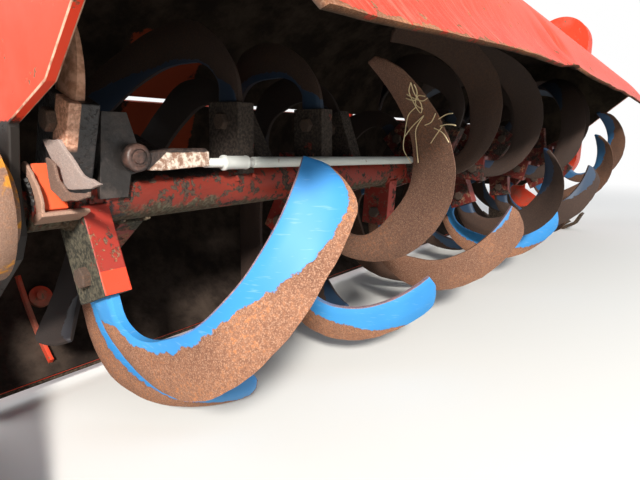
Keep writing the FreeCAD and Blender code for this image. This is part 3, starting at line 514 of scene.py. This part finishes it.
stations = [  # x (mm), turn, side, wear of the paint, painted shading (above 0 painted shade, below 0 painted sunlight), crust on the socket
    (-878, 115, 0, 0, 0, 0), (-858, 158, 1, 0.9, -1.0, 2.0), (-843, 21, 1, 0.0, 0, 0.9),
    (-794, -54, 1, -0.05, 0, 0.6), (-745, -112, -1, 0.6, 0.97, 0.8), (-660, 178, -1, 0.1, 0.82, 1.0),
    (-612, -150, -1, 0.3, 0.95, 1.0), (-554, 48, -1, 0.9, 0.35, 0.3), (-527, -28, 1, -0.25, 0, 0.3),
    (-505, 180, 1, 0.0, 0.78, 0.9), (-465, -95, -1, 0.2, 0.85, 0.6), (-418, -160, 1, 0.3, 0.92, 0.8),
    (-366, -75, -1, 0.3, 0.80, 0.5), (-313, -4, 1, 0.75, 0.1, 0.3), (-261, 95, -1, 0.9, 0.74, 0.4),
    (-213, -70, 1, 0.3, 0.60, 0.5), (-165, -140, -1, 0.3, 0.90, 0.5), (-113, 155, 1, 0.3, 0.90, 0.6),
    (-61, 88, -1, 0.6, 0.85, 0.4), (-9, 21, -1, 0.3, 0.78, 0.3), (45, -15, 1, -0.25, 0, 0.3),
    (97, -82, 1, 0.2, 0.65, 0.5), (149, -150, -1, 0.4, 0.90, 0.5), (201, 143, -1, 0.5, 0.90, 0.5),
    (253, 76, 1, 0.3, 0.85, 0.4), (305, 8, 1, 0.3, 0.80, 0.4), (357, -60, -1, 0.1, 0.70, 0.4),
    (409, -127, -1, 0.3, 0.90, 0.5), (461, 165, 1, 0.3, 0.90, 0.5), (513, 98, 1, 0.2, 0.85, 0.4),
    (565, 30, -1, 0.2, 0.35, 0.3), (617, -37, -1, 0.1, 0.60, 0.3), (669, -105, 1, 0.1, 0.80, 0.5),
    (721, -172, 1, 0.3, 0.90, 0.5), (773, 120, -1, 0.2, 0.85, 0.4), (825, 53, -1, 0.1, 0.40, 0.4),
]


def eased(table, position):  # a smooth curve through the rows of a table
    n = min(int(position), len(table) - 2)
    share = position - n
    rows = [table[max(n - 1, 0)], table[n], table[n + 1], table[min(n + 2, len(table) - 1)]]
    return [0.5 * (2 * b + (c - a) * share + (2 * a - 5 * b + 4 * c - d) * share ** 2
                   + (3 * b - a - 3 * c + d) * share ** 3) for a, b, c, d in zip(*rows)]


def bent(reach, sweep):  # a point of the flat blank after the sideways roll, in millimetres
    line = math.radians(tineSizes["bendLine"])
    root, start, radius = tineSizes["root"], tineSizes["bendStart"], tineSizes["bendRadius"]
    along = (reach - root) * math.cos(line) + sweep * math.sin(line)
    across = sweep * math.cos(line) - (reach - root) * math.sin(line)
    roll = max(across - start, 0.0) / radius
    rolledAcross = min(across, start) + radius * math.sin(roll)
    return Vector((root + along * math.cos(line) - rolledAcross * math.sin(line),
                   along * math.sin(line) + rolledAcross * math.cos(line), radius * (1 - math.cos(roll))))


def bladeMesh(side, seed):
    s = tineSizes
    points, faces, along, across = [], [], [], []
    rows, columns = s["rows"], s["columns"]
    last = len(tineBlank) - 1
    for n in range(rows + 1):
        position = last * (n / rows)
        reach, sweep, heading, outer, inner = eased(tineBlank, position)
        turn = math.radians(heading)
        ahead, out = (math.cos(turn), math.sin(turn)), (math.sin(turn), -math.cos(turn))
        share = max(position - 1, 0) / (last - 1)
        thick = s["thick"] * (1 - share) + s["tip"] * share
        if n == rows:
            thick *= s["tipThin"]
        sharpen = min(max(position - 1.0, 0.0) / 2.0, 1.0)
        nick = noise.noise(Vector((position * 2.3, seed * 3.1, 0.0))) * s["nick"] * sharpen
        ring = []
        for face in (1, -1):
            order = range(columns + 1) if face > 0 else range(columns, -1, -1)
            for k in order:
                t = k / columns
                width = (outer - nick) * (1 - t) - inner * t
                flat = (reach + out[0] * width, sweep + out[1] * width)
                middle = bent(*flat)
                normal = (bent(flat[0] + ahead[0], flat[1] + ahead[1]) - middle).cross(
                    bent(flat[0] - out[0], flat[1] - out[1]) - middle).normalized()
                ground = 1 - min(t / s["edgeShare"], 1.0)
                half = thick / 2 * (1 - sharpen * ground * s["edgeThin"])
                if k in (0, columns):
                    half *= s["rimThin"]
                ring.append(middle + normal * half * face)
                along.append(share)
                across.append(t)
        points += [Vector((side * p.z, -p.y, -p.x)) / 1000 for p in ring]
    ringSize = 2 * (columns + 1)
    for n in range(rows):
        first, second = n * ringSize, (n + 1) * ringSize
        for k in range(ringSize):
            after = (k + 1) % ringSize
            quad = (first + k, second + k, second + after, first + after)
            faces.append(quad if side < 0 else quad[::-1])
    for n, flip in ((0, side < 0), (rows, side > 0)):
        first, end = n * ringSize, (n + 1) * ringSize - 1
        for k in range(columns):
            quad = (first + k, first + k + 1, end - 1 - k, end - k)
            faces.append(quad[::-1] if flip else quad)
    return points, faces, along, across


for nodeName, pieceName, wanted in (("tines_right", "bladesRight", 1), ("tines_left", "bladesLeft", -1)):
    blades = Builder()
    for index, (x, turn, side, worn, gloom, _) in enumerate(stations):
        if side != wanted:
            continue
        points, faces, along, across = bladeMesh(side, index)
        count = len(points)
        blades.add(moved(points, stationMatrix(x / 1000, turn)), faces, along=along, across=across,
                   worn=[worn] * count, gloom=[gloom] * count)
    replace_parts(blades.make(pieceName, "rotor", "blade", sharp=50), nodeName)
print("stage: tines made")


# rotor: tube, sockets, bolts and weld beads, in metres
rotorSizes = {"radius": 0.0255, "near": -0.892, "far": 0.852, "journal": 0.0175, "journalLength": 0.046,
              "axial": 0.025, "width": 0.050, "reach": 0.094, "root": 0.014, "slot": 0.0063, "slotHalf": 0.0168,
              "depth": 0.052, "shade": 0.073, "sunlit": -843}
holders = [(x, turn, crust) for x, turn, side, _, _, crust in stations if side]  # without the torn socket


def rotorTube():
    s = rotorSizes
    body = Builder()
    steps = 120
    near, length = s["near"], s["far"] - s["near"]
    path = [Vector((near + length * n / steps, axisY, axisZ)) for n in range(steps + 1)]
    body.add(*tube(path, [s["radius"]] * (steps + 1), 40))
    for start, way in ((s["near"], -1), (s["far"], 1)):
        ends = [Vector((start, axisY, axisZ)), Vector((start + way * s["journalLength"], axisY, axisZ))]
        body.add(*tube(ends, [s["journal"]] * 2, 32))
    return body.make("rotorTube", "rotor", "tube")


def socketMesh():
    s = rotorSizes
    sockets = Builder()
    half, wide = s["axial"] / 2, s["width"] / 2
    slot, slotHalf = s["slot"], s["slotHalf"]
    rings = [(half, wide, s["root"]), (half, wide, s["shade"]), (half, wide, s["reach"]),
             (slot, slotHalf, s["reach"]), (slot, slotHalf, s["reach"] - s["depth"])]
    corners = ((-1, -1), (1, -1), (1, 1), (-1, 1))
    points = [Vector((across * a, deep * b, -out)) for across, deep, out in rings for a, b in corners]
    faces = [(0, 1, 2, 3)]
    for first in range(0, 4 * len(rings) - 4, 4):
        for k in range(4):
            after = (k + 1) % 4
            faces.append((first + k, first + 4 + k, first + 4 + after, first + after))
    faces.append((16, 19, 18, 17))
    upper, lower = 1, 5  # the wall towards the sweep, in two lengths: on the sunlit socket painted shade on the upper and painted sunlight on the lower
    for x, turn, crust in holders:
        paintedLight, soiled = [0.0] * len(faces), [crust] * len(faces)
        if x == s["sunlit"]:
            paintedLight[upper], paintedLight[lower], soiled[upper], soiled[lower] = 0.12, 1.0, 0.0, 0.0
        elif crust < 0.45:
            # some painted light on that wall of the lightly crusted sockets
            paintedLight[upper] = paintedLight[lower] = 0.3
        perFace = {"crust": soiled, "paintedLight": paintedLight}
        sockets.add(moved(points, stationMatrix(x / 1000, turn)), faces, perFace=perFace)
    return sockets.make("sockets", "rotor", "socket", smooth=False, bevel=0.0011)


boltSizes = {"out": 0.072, "head": -0.007, "nut": 0.009, "shoulder": 0.85, "radius": 0.0098, "crown": 0.0086}


def boltMesh():
    s = boltSizes
    bolts = Builder()
    half = rotorSizes["axial"] / 2
    for x, turn, _ in holders:
        for start, length in ((-half, s["head"]), (half, s["nut"])):
            reaches = (start, start + length * s["shoulder"], start + length)
            path = [Vector((reach, 0, -s["out"])) for reach in reaches]
            points, faces = tube(path, [s["radius"], s["radius"], s["crown"]], 6)
            bolts.add(moved(points, stationMatrix(x / 1000, turn)), faces)
    return bolts.make("socketBolts", "rotor", "bolt", smooth=False)


weldSizes = {"span": 76, "steps": 48, "lift": 0.0006, "radius": 0.0030, "ripple": 0.0005, "jitter": 0.0003}


def weldMesh():
    s = weldSizes
    welds = Builder()
    side, around = rotorSizes["axial"] / 2 + s["lift"], rotorSizes["radius"]
    for index, (x, turn) in enumerate(station[:2] for station in stations):
        for face in (-1, 1):
            path, radii = [], []
            for n in range(s["steps"] + 1):
                angle = math.radians(s["span"] * (2 * n / s["steps"] - 1))
                path.append(Vector((face * side, math.sin(angle) * around, -math.cos(angle) * around)))
                radii.append(s["radius"] + s["ripple"] * math.sin(n * 1.9 + index)
                             + rng.uniform(-s["jitter"], s["jitter"]))
            points, faces = tube(path, radii, 8)
            welds.add(moved(points, stationMatrix(x / 1000, turn)), faces)
    return welds.make("socketWelds", "rotor", "tube")


tornSizes = {"end": 0.034, "pocket": 0.0275, "pocketThick": 0.019}
tornOutlines = {  # front and up (mm, from the axis), place and lean along the rotor, thickness, material
    "tornFlap": ([(18, 51), (41, 51), (48, 43), (59, 33), (68, 24), (90, 18), (77, 14), (54, 12), (40, 14),
                  (34, 29), (23, 43)], -877.8, 0.1, 3.2, "greyRust"),
    "tornFold": ([(32, 37), (45, 33), (49, 20), (62, 12), (86, 12), (96, 14), (95, 10), (82, 7), (53, 4),
                  (35, 12)], -881.0, 0.0, 2.6, "brownTorn"),
}


def onRotor(x, front, up):  # along the rotor, in front of its axis and above it, in millimetres
    return Vector((x / 1000, axisY - front / 1000, axisZ + up / 1000))


def tornSocket():  # what is left of the first socket: two walls, a flap and a fold torn open
    x, turn = stations[0][:2]
    matrix = stationMatrix(x / 1000, turn)
    half, root, end = rotorSizes["width"] / 2, rotorSizes["root"], tornSizes["end"]
    lower = [(half - 0.0062, -root), (half - 0.0062, -end * 0.8), (half - 0.003, -end), (half, -end),
             (half, -root)]
    near = [(-half, -root), (-half, -end * 0.8), (-half * 0.5, -end), (half * 0.2, -end * 1.1),
            (half - 0.001, -end * 0.95), (half - 0.001, -root)]
    pieces = []
    for name, outline, start, thick, tear, seed in (("tornLower", lower, -0.01375, 0.03875, 0.0008, 9),
                                                    ("tornNear", near, -0.0125, 0.0028, 0.0030, 8)):
        wall = Builder()
        wall.add(*slab(jagged(outline, 0.004, tear, seed), thick, matrix @ Matrix.Translation((start, 0, 0))))
        pieces.append(wall.make(name, "rotor", "paleRust", smooth=False, bevel=0.0009))
    for name, (outline, place, lean, thick, look) in tornOutlines.items():
        points, faces = slab(jagged(outline, 5.0, 1.1, 8), thick)
        scrap = Builder()
        points = [onRotor(place + lean * p.y + p.x, p.y, p.z) for p in points]
        scrap.add(points, [face[::-1] for face in faces])
        pieces.append(scrap.make(name, "rotor", look, smooth=False, bevel=0.0007))
    pocket = Builder()  # the painted back of the pocket between the walls
    deep = tornSizes["pocket"]
    back = [(-half * 0.92, -root), (-half * 0.92, -deep), (half * 0.70, -deep), (half * 0.70, -root)]
    pocket.add(*slab(back, tornSizes["pocketThick"], matrix @ Matrix.Translation((-0.0075, 0, 0))))
    pieces.append(pocket.make("tornPocket", "rotor", "torn", smooth=False, bevel=0.0009))
    return pieces


for piece in [rotorTube(), socketMesh(), boltMesh(), weldMesh()] + tornSocket():
    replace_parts(piece, "rotor_tube")
print("stage: rotor made")


# link: the greasy eye, its strap, the threaded sleeve and the rod, in millimetres from the axis
linkSizes = {"front": 34.5, "eyeX": -805.5, "eyeZ": 35.0, "strapFar": -725.0, "strapLow": 22.55,
             "strapTop": 43.05, "strapFront": 40.5, "strapBack": 30.8, "nearZ": 27.8, "drop": 9.7,
             "threadFar": -659.0, "end": -273.8, "radius": 6.3, "shoulder": 0.86, "sides": 28}
eyeProfile = [  # front, radius
    (30.8, 11.5), (37.0, 13.2), (41.5, 12.4), (43.3, 10.6), (43.0, 8.2), (41.3, 7.6), (41.3, 5.8), (42.8, 5.0),
    (42.8, 0.4),
]
sleeveSizes = {"steps": 70, "overlap": 3, "thread": 4.5, "crest": 0.45, "groove": -0.1, "collarAt": 43.5,
               "collar": 8.2, "sleeveAt": 39.6, "sleeve": 7.25, "swellAt": 12.0, "swell": 0.55, "neckAt": 6.3,
               "neck": 5.0}


def linkPoint(x):  # the middle of the rod's line at a place along the rotor
    s = linkSizes
    share = (x - s["strapFar"]) / (s["end"] - s["strapFar"])
    return onRotor(x, s["front"], s["nearZ"] - s["drop"] * share)


def linkStrap():  # a bar bent round the eye
    s = linkSizes
    eye, far, low, top = s["eyeX"], s["strapFar"], s["strapLow"], s["strapTop"]
    outline = [(eye + 8, low + 1), (eye + 24, low), (far, low + 2), (far + 0.5, top - 4), (far - 4, top),
               (eye + 36, top), (eye + 10, top - 3)]
    points, faces = slab(jagged(outline, 5.0, 0.7, 3), s["strapFront"] - s["strapBack"])
    strap = Builder()
    strap.add([onRotor(y, s["strapBack"] + x, z) for x, y, z in points], faces)
    return strap.make("linkStrap", "rotor", "strap", smooth=False, bevel=0.0014)


def linkEye():  # a boss with a worn ring and a sunk bolt
    s = linkSizes
    sides, count = s["sides"], len(eyeProfile)
    points, faces = [], []
    for n, (front, radius) in enumerate(eyeProfile):
        for k in range(sides):
            angle = 2 * math.pi * k / sides
            out = Vector((math.cos(angle), 0, math.sin(angle)))
            worn = 1 + 0.03 * noise.noise(Vector((n * 1.7, out.z * 2, out.x * 2)))
            points.append(onRotor(s["eyeX"], front, s["eyeZ"]) + out * radius * worn / 1000)
    for n in range(count - 1):
        first, second = n * sides, (n + 1) * sides
        for k in range(sides):
            after = (k + 1) % sides
            faces.append((first + k, second + k, second + after, first + after))
    faces.append(tuple(range(sides))[::-1])
    faces.append(tuple((count - 1) * sides + k for k in range(sides)))
    eye = Builder()
    eye.add(points, faces)
    return eye.make("linkEye", "rotor", "brownGrease", sharp=60)


def sleeveRadius(n, left):  # by the ring's number and by the way left to the far end
    s = sleeveSizes
    if left < s["neckAt"]:
        return s["neck"]
    if left < s["swellAt"]:
        return s["sleeve"] + s["swell"] * math.sin((s["swellAt"] - left) * 0.9)
    if left < s["sleeveAt"]:
        return s["sleeve"]
    if left < s["collarAt"]:
        return s["collar"]
    return s["thread"] + (s["crest"] if n % 2 else s["groove"])


def linkSleeve():  # threaded end, collar and sleeve
    s = linkSizes
    steps, start = sleeveSizes["steps"], s["strapFar"] - sleeveSizes["overlap"]
    places = [start + (s["threadFar"] - start) * n / steps for n in range(steps + 1)]
    radii = [sleeveRadius(n, s["threadFar"] - x) / 1000 for n, x in enumerate(places)]
    sleeve = Builder()
    sleeve.add(*tube([linkPoint(x) for x in places], radii, s["sides"]))
    return sleeve.make("linkSleeve", "rotor", "steel", sharp=25)


def linkBar():
    s = linkSizes
    start, steps = s["threadFar"], 24
    places = [start, start + 1.2] + [start + (s["end"] - start) * n / steps for n in range(1, steps + 1)]
    radii = [s["radius"] * s["shoulder"] / 1000] + [s["radius"] / 1000] * (len(places) - 1)
    rod = Builder()
    rod.add(*tube([linkPoint(x) for x in places], radii, s["sides"]))
    return rod.make("linkBar", "rotor", "rod", sharp=40)


for piece in (linkStrap(), linkEye(), linkSleeve(), linkBar()):
    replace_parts(piece, "link_rod")


# straw caught on the rust-covered tine: reach and sweep of each strand's bends on the flat blank (mm)
strawSizes = {"x": -554, "turn": 48, "lift": 7.5, "radius": 0.5, "steps": 6}
strawStrands = [
    [(91, 251), (90, 233), (98, 221), (108, 215), (106, 228), (96, 237), (91, 251)],
    [(88, 219), (98, 226), (101, 238), (108, 245)],
    [(101, 217), (96, 197), (101, 172), (108, 155), (124, 149)],
    [(112, 214), (110, 189), (120, 170), (130, 156)], [(112, 215), (105, 190), (102, 170)],
    [(128, 227), (134, 243), (139, 251)], [(132, 219), (138, 229), (146, 237)],
    [(127, 210), (137, 213), (147, 208)],
    [(134, 220), (132, 203), (131, 189)], [(123, 231), (122, 215), (117, 204)],
    [(88, 226), (96, 228), (106, 234), (111, 245)], [(95, 252), (99, 242), (100, 222), (109, 223)],
]


def strawMesh():
    s = strawSizes
    straw = Builder()
    matrix = stationMatrix(s["x"] / 1000, s["turn"])
    for strand in strawStrands:
        path = []
        for step in range(s["steps"] * (len(strand) - 1) + 1):
            spot = bent(*eased(strand, step / s["steps"]))
            path.append(Vector((-spot.z - s["lift"], -spot.y, -spot.x)) / 1000)
        points, faces = tube(path, [s["radius"] / 1000] * len(path), 6)
        straw.add(moved(points, matrix), faces)
    straw.make("straw", "rotor", "straw")


strawMesh()
print("stage: link and straw made")


# hood: the rolled sheet with its flared, scraped and dented front strip, whose paint is darkened as painted
# shade
hoodEdge = [  # share of the length, angle of the front edge
    (0.0, 163.0), (0.065, 161.4), (0.12, 160.0), (0.18, 158.5), (0.28, 156.6), (0.42, 155.3), (0.70, 154.2),
    (1.0, 153.4),
]
hoodSizes = {"near": -0.897, "length": 1.759, "rear": 22.3, "inside": 0.320, "thick": 0.005, "flare": 0.014,
             "strip": 0.040, "low": 0.110, "rows": 220, "columns": 62}
hoodDents = {"fold": -0.330, "foldHalf": 0.055, "foldLift": 5.5, "foldDepth": 0.016, "bulge": -0.410,
             "bulgeHalf": 0.05, "bulgeHeight": 0.010, "wave": 0.0022, "ripple": 0.0008, "sway": 0.0025,
             "press": 0.0012}


def hoodEdgeAngle(share):
    for (low, lowAngle), (high, highAngle) in zip(hoodEdge, hoodEdge[1:]):
        if share <= high:
            t = (share - low) / (high - low)
            return lowAngle + (highAngle - lowAngle) * t
    return hoodEdge[-1][1]


def bump(value):  # 1 at 0, falling smoothly to 0 at -1 and 1
    return (1 - min(abs(value), 1.0) ** 2) ** 2


def hoodPoints(layer):  # the points of the outer or inner side, with how close each is to the front edge
    s, d = hoodSizes, hoodDents
    points, rim, scrape = [], [], []
    for n in range(s["rows"] + 1):
        share = n / s["rows"]
        x = s["near"] + share * s["length"]
        fold, bulge = bump((x - d["fold"]) / d["foldHalf"]), bump((x - d["bulge"]) / d["bulgeHalf"])
        edge = hoodEdgeAngle(share) - d["foldLift"] * fold
        wave = d["wave"] * noise.noise(Vector((x * 9, 0.7, 0)))
        wave += d["ripple"] * noise.noise(Vector((x * 31, 2.7, 0)))
        for k in range(s["columns"] + 1):
            t = k / s["columns"]
            angle = s["rear"] + (edge - s["rear"]) * (t * 0.72 + 0.28 * (1 - (1 - t) ** 3))
            away = math.radians(edge - angle) * (s["inside"] + s["thick"])
            close, low = max(1 - away / s["strip"], 0.0), max(1 - away / s["low"], 0.0)
            radius = s["inside"] + s["thick"] * (1 - layer) + s["flare"] * close ** 1.6
            radius += (wave - d["press"]) * close
            radius -= d["foldDepth"] * fold * low ** 1.5
            radius += d["bulgeHeight"] * bulge * low ** 2 * (1 - abs(2 * low - 1) * 0.4)
            radius += d["sway"] * noise.noise(Vector((x * 3.1, angle * 0.03, 4.0))) * low
            turn = math.radians(angle)
            points.append(Vector((x, axisY + math.cos(turn) * radius, axisZ + math.sin(turn) * radius)))
            rim.append(close)
            scrape.append(low)
    return points, rim, scrape


def hoodMesh():
    rows, width = hoodSizes["rows"], hoodSizes["columns"] + 1
    size = (rows + 1) * width  # the number of points in one layer
    faces = []
    for n in range(rows):
        for k in range(width - 1):
            a, b = n * width + k, n * width + k + 1
            c, d = b + width, a + width
            faces += [(a, b, c, d), (size + d, size + c, size + b, size + a)]
        for k, flip in ((0, True), (width - 1, False)):
            a, b = n * width + k, (n + 1) * width + k
            quad = (a, size + a, size + b, b)
            faces.append(quad[::-1] if flip else quad)
    for k in range(width - 1):
        for n, flip in ((0, False), (rows, True)):
            a, b = n * width + k, n * width + k + 1
            quad = (a, size + a, size + b, b)
            faces.append(quad[::-1] if flip else quad)
    (outer, rim, scrape), (inner, rimInside, scrapeInside) = hoodPoints(0), hoodPoints(1)
    hood = Builder()
    hood.add(outer + inner, faces, side=[0.0] * size + [1.0] * size, rim=rim + rimInside,
             scrape=scrape + scrapeInside)
    return hood.make("hoodShell", "housing", "hood", sharp=50)


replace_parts(hoodMesh(), "hood_sheet")
print("stage: hood made")


# CAD nodes that stay: material and softened edges
keptNodes = {
    "hood_bands": ("frame", "red_paint"), "side_plate_near": ("plateNear", "red_paint"),
    "side_plate_far": ("plateFar", "red_paint"), "bearing_near": ("hub", "rusty_steel"),
    "drive_case": ("frame", "red_paint"), "input_shaft": ("steel", "bare_steel"),
    "top_beam": ("frame", "red_paint"), "skid_near": ("lowFrame", "red_paint"),
    "skid_far": ("lowFrame", "red_paint"), "hinge_pin": ("rust", "bare_steel"),
    "hinge_lugs": ("frame", "red_paint"), "rear_board": ("board", "red_paint"),
    "board_frame": ("lowFrame", "red_paint"), "board_hinges": ("frame", "red_paint"),
    "board_inner": ("innerFrame", "red_paint"), "eye_lug": ("grease", "rusty_steel"),
}
edgeWidths = {"side_plate_near": 0.0016, "side_plate_far": 0.0016}  # metres, 0.0009 on the others
plainEdges = {"eye_lug", "rear_board", "board_frame", "board_inner", "bearing_near"}  # no bare line on them
for name, (look, slotName) in keptNodes.items():
    obj = nodes[name]
    obj.data.materials.clear()
    for each in (look, "wornEdge"):
        obj.data.materials.append(looks[each])
    obj.modifiers.new("weld", "WELD").merge_threshold = 0.00002
    soften(obj, edgeWidths.get(name, 0.0009)).material = 0 if name in plainEdges else 1
print("stage: frame nodes dressed")


# floor, light and camera
stageSizes = {"floor": 60, "drop": 0.0005, "whiteFrom": 1.3, "whiteBy": 3.6, "skyLight": 0.36}
lamps = [  # place, aim, size, watts, colour
    ((-3.1, -2.45, 2.05), (-0.6, -0.1, 0.25), 0.45, 280, (1.0, 0.95, 0.87)),
    ((1.6, -2.8, 2.4), (0.0, 0.0, 0.3), 2.0, 50, (0.95, 0.98, 1.0)),
    ((-1.8, 2.4, 2.2), (-0.2, 0.0, 0.4), 1.8, 60, (1.0, 1.0, 1.0)),
]
cameraSizes = {"place": (-1.050, axisY - 0.4389, axisZ + 0.0486), "aim": (0.7719, 0.6038, -0.1987),
               "sensor": 36.0, "lens": 27.06}


def seenRay(tree):  # 1 where the camera, or metal or glass in its view, sees the background
    ray = tree.nodes.new("ShaderNodeLightPath")
    seen = ray.outputs["Is Camera Ray"]
    for kind in ("Is Glossy Ray", "Is Transmission Ray"):
        either = tree.nodes.new("ShaderNodeMath")
        either.operation = "MAXIMUM"
        tree.links.new(seen, either.inputs[0])
        tree.links.new(ray.outputs[kind], either.inputs[1])
        seen = either.outputs[0]
    return seen


def blendShaders(tree, factor, first, second, output):
    blend = tree.nodes.new("ShaderNodeMixShader")
    for index, socket in enumerate((factor, first, second)):
        tree.links.new(socket, blend.inputs[index])
    tree.links.new(blend.outputs[0], tree.nodes[output].inputs[0])


def addFloor():  # pale near the part and white further out
    bpy.ops.mesh.primitive_plane_add(size=stageSizes["floor"], location=(0, 0, -stageSizes["drop"]))
    floor = bpy.context.object
    floor.name = "floor"
    g = Graph("floor")
    x, y, _ = g.split(g.place)
    away = (x * x + y * y).maths("SQRT").over(stageSizes["whiteFrom"], stageSizes["whiteBy"])
    seen = Term(g, seenRay(g.tree))
    g.finish(g.mix(seen, (0.34, 0.34, 0.30), (0.80, 0.80, 0.79)), 0.9)
    white = g.tree.nodes.new("ShaderNodeEmission")
    blendShaders(g.tree, (away * seen).socket, g.shader.outputs[0], white.outputs[0], "Material Output")
    floor.data.materials.append(g.material)


def addSky():
    world = bpy.data.worlds.new("sky")
    bpy.context.scene.world = world
    world.use_nodes = True
    tree = world.node_tree
    white, soft = tree.nodes["Background"], tree.nodes.new("ShaderNodeBackground")
    for sky, colour, strength in ((white, (1, 1, 1, 1), 1.0),
                                  (soft, (0.86, 0.92, 1.0, 1), stageSizes["skyLight"])):
        sky.inputs[0].default_value, sky.inputs[1].default_value = colour, strength
    blendShaders(tree, seenRay(tree), soft.outputs[0], white.outputs[0], "World Output")


def addLamps():
    for n, (place, aim, size, watts, colour) in enumerate(lamps):
        lamp = bpy.data.lights.new(f"lamp{n}", "AREA")
        lamp.size, lamp.energy, lamp.color = size, watts, colour
        holder = bpy.data.objects.new(f"lamp{n}", lamp)
        bpy.context.scene.collection.objects.link(holder)
        holder.location = place
        holder.rotation_euler = (Vector(aim) - Vector(place)).to_track_quat("-Z", "Y").to_euler()


def addCamera():  # where the photograph was taken from, by the fit of its perspective
    s = cameraSizes
    lens = bpy.data.cameras.new("photoCamera")
    lens.sensor_width, lens.lens = s["sensor"], s["lens"]
    lens.clip_start, lens.clip_end = 0.01, 60
    camera = bpy.data.objects.new("photoCamera", lens)
    bpy.context.scene.collection.objects.link(camera)
    camera.location = s["place"]
    camera.rotation_euler = Vector(s["aim"]).to_track_quat("-Z", "Y").to_euler()
    bpy.context.scene.camera = camera


addFloor()
addSky()
addLamps()
addCamera()
bpy.context.scene.view_settings.view_transform = "Standard"
print("stage: lights and camera set")
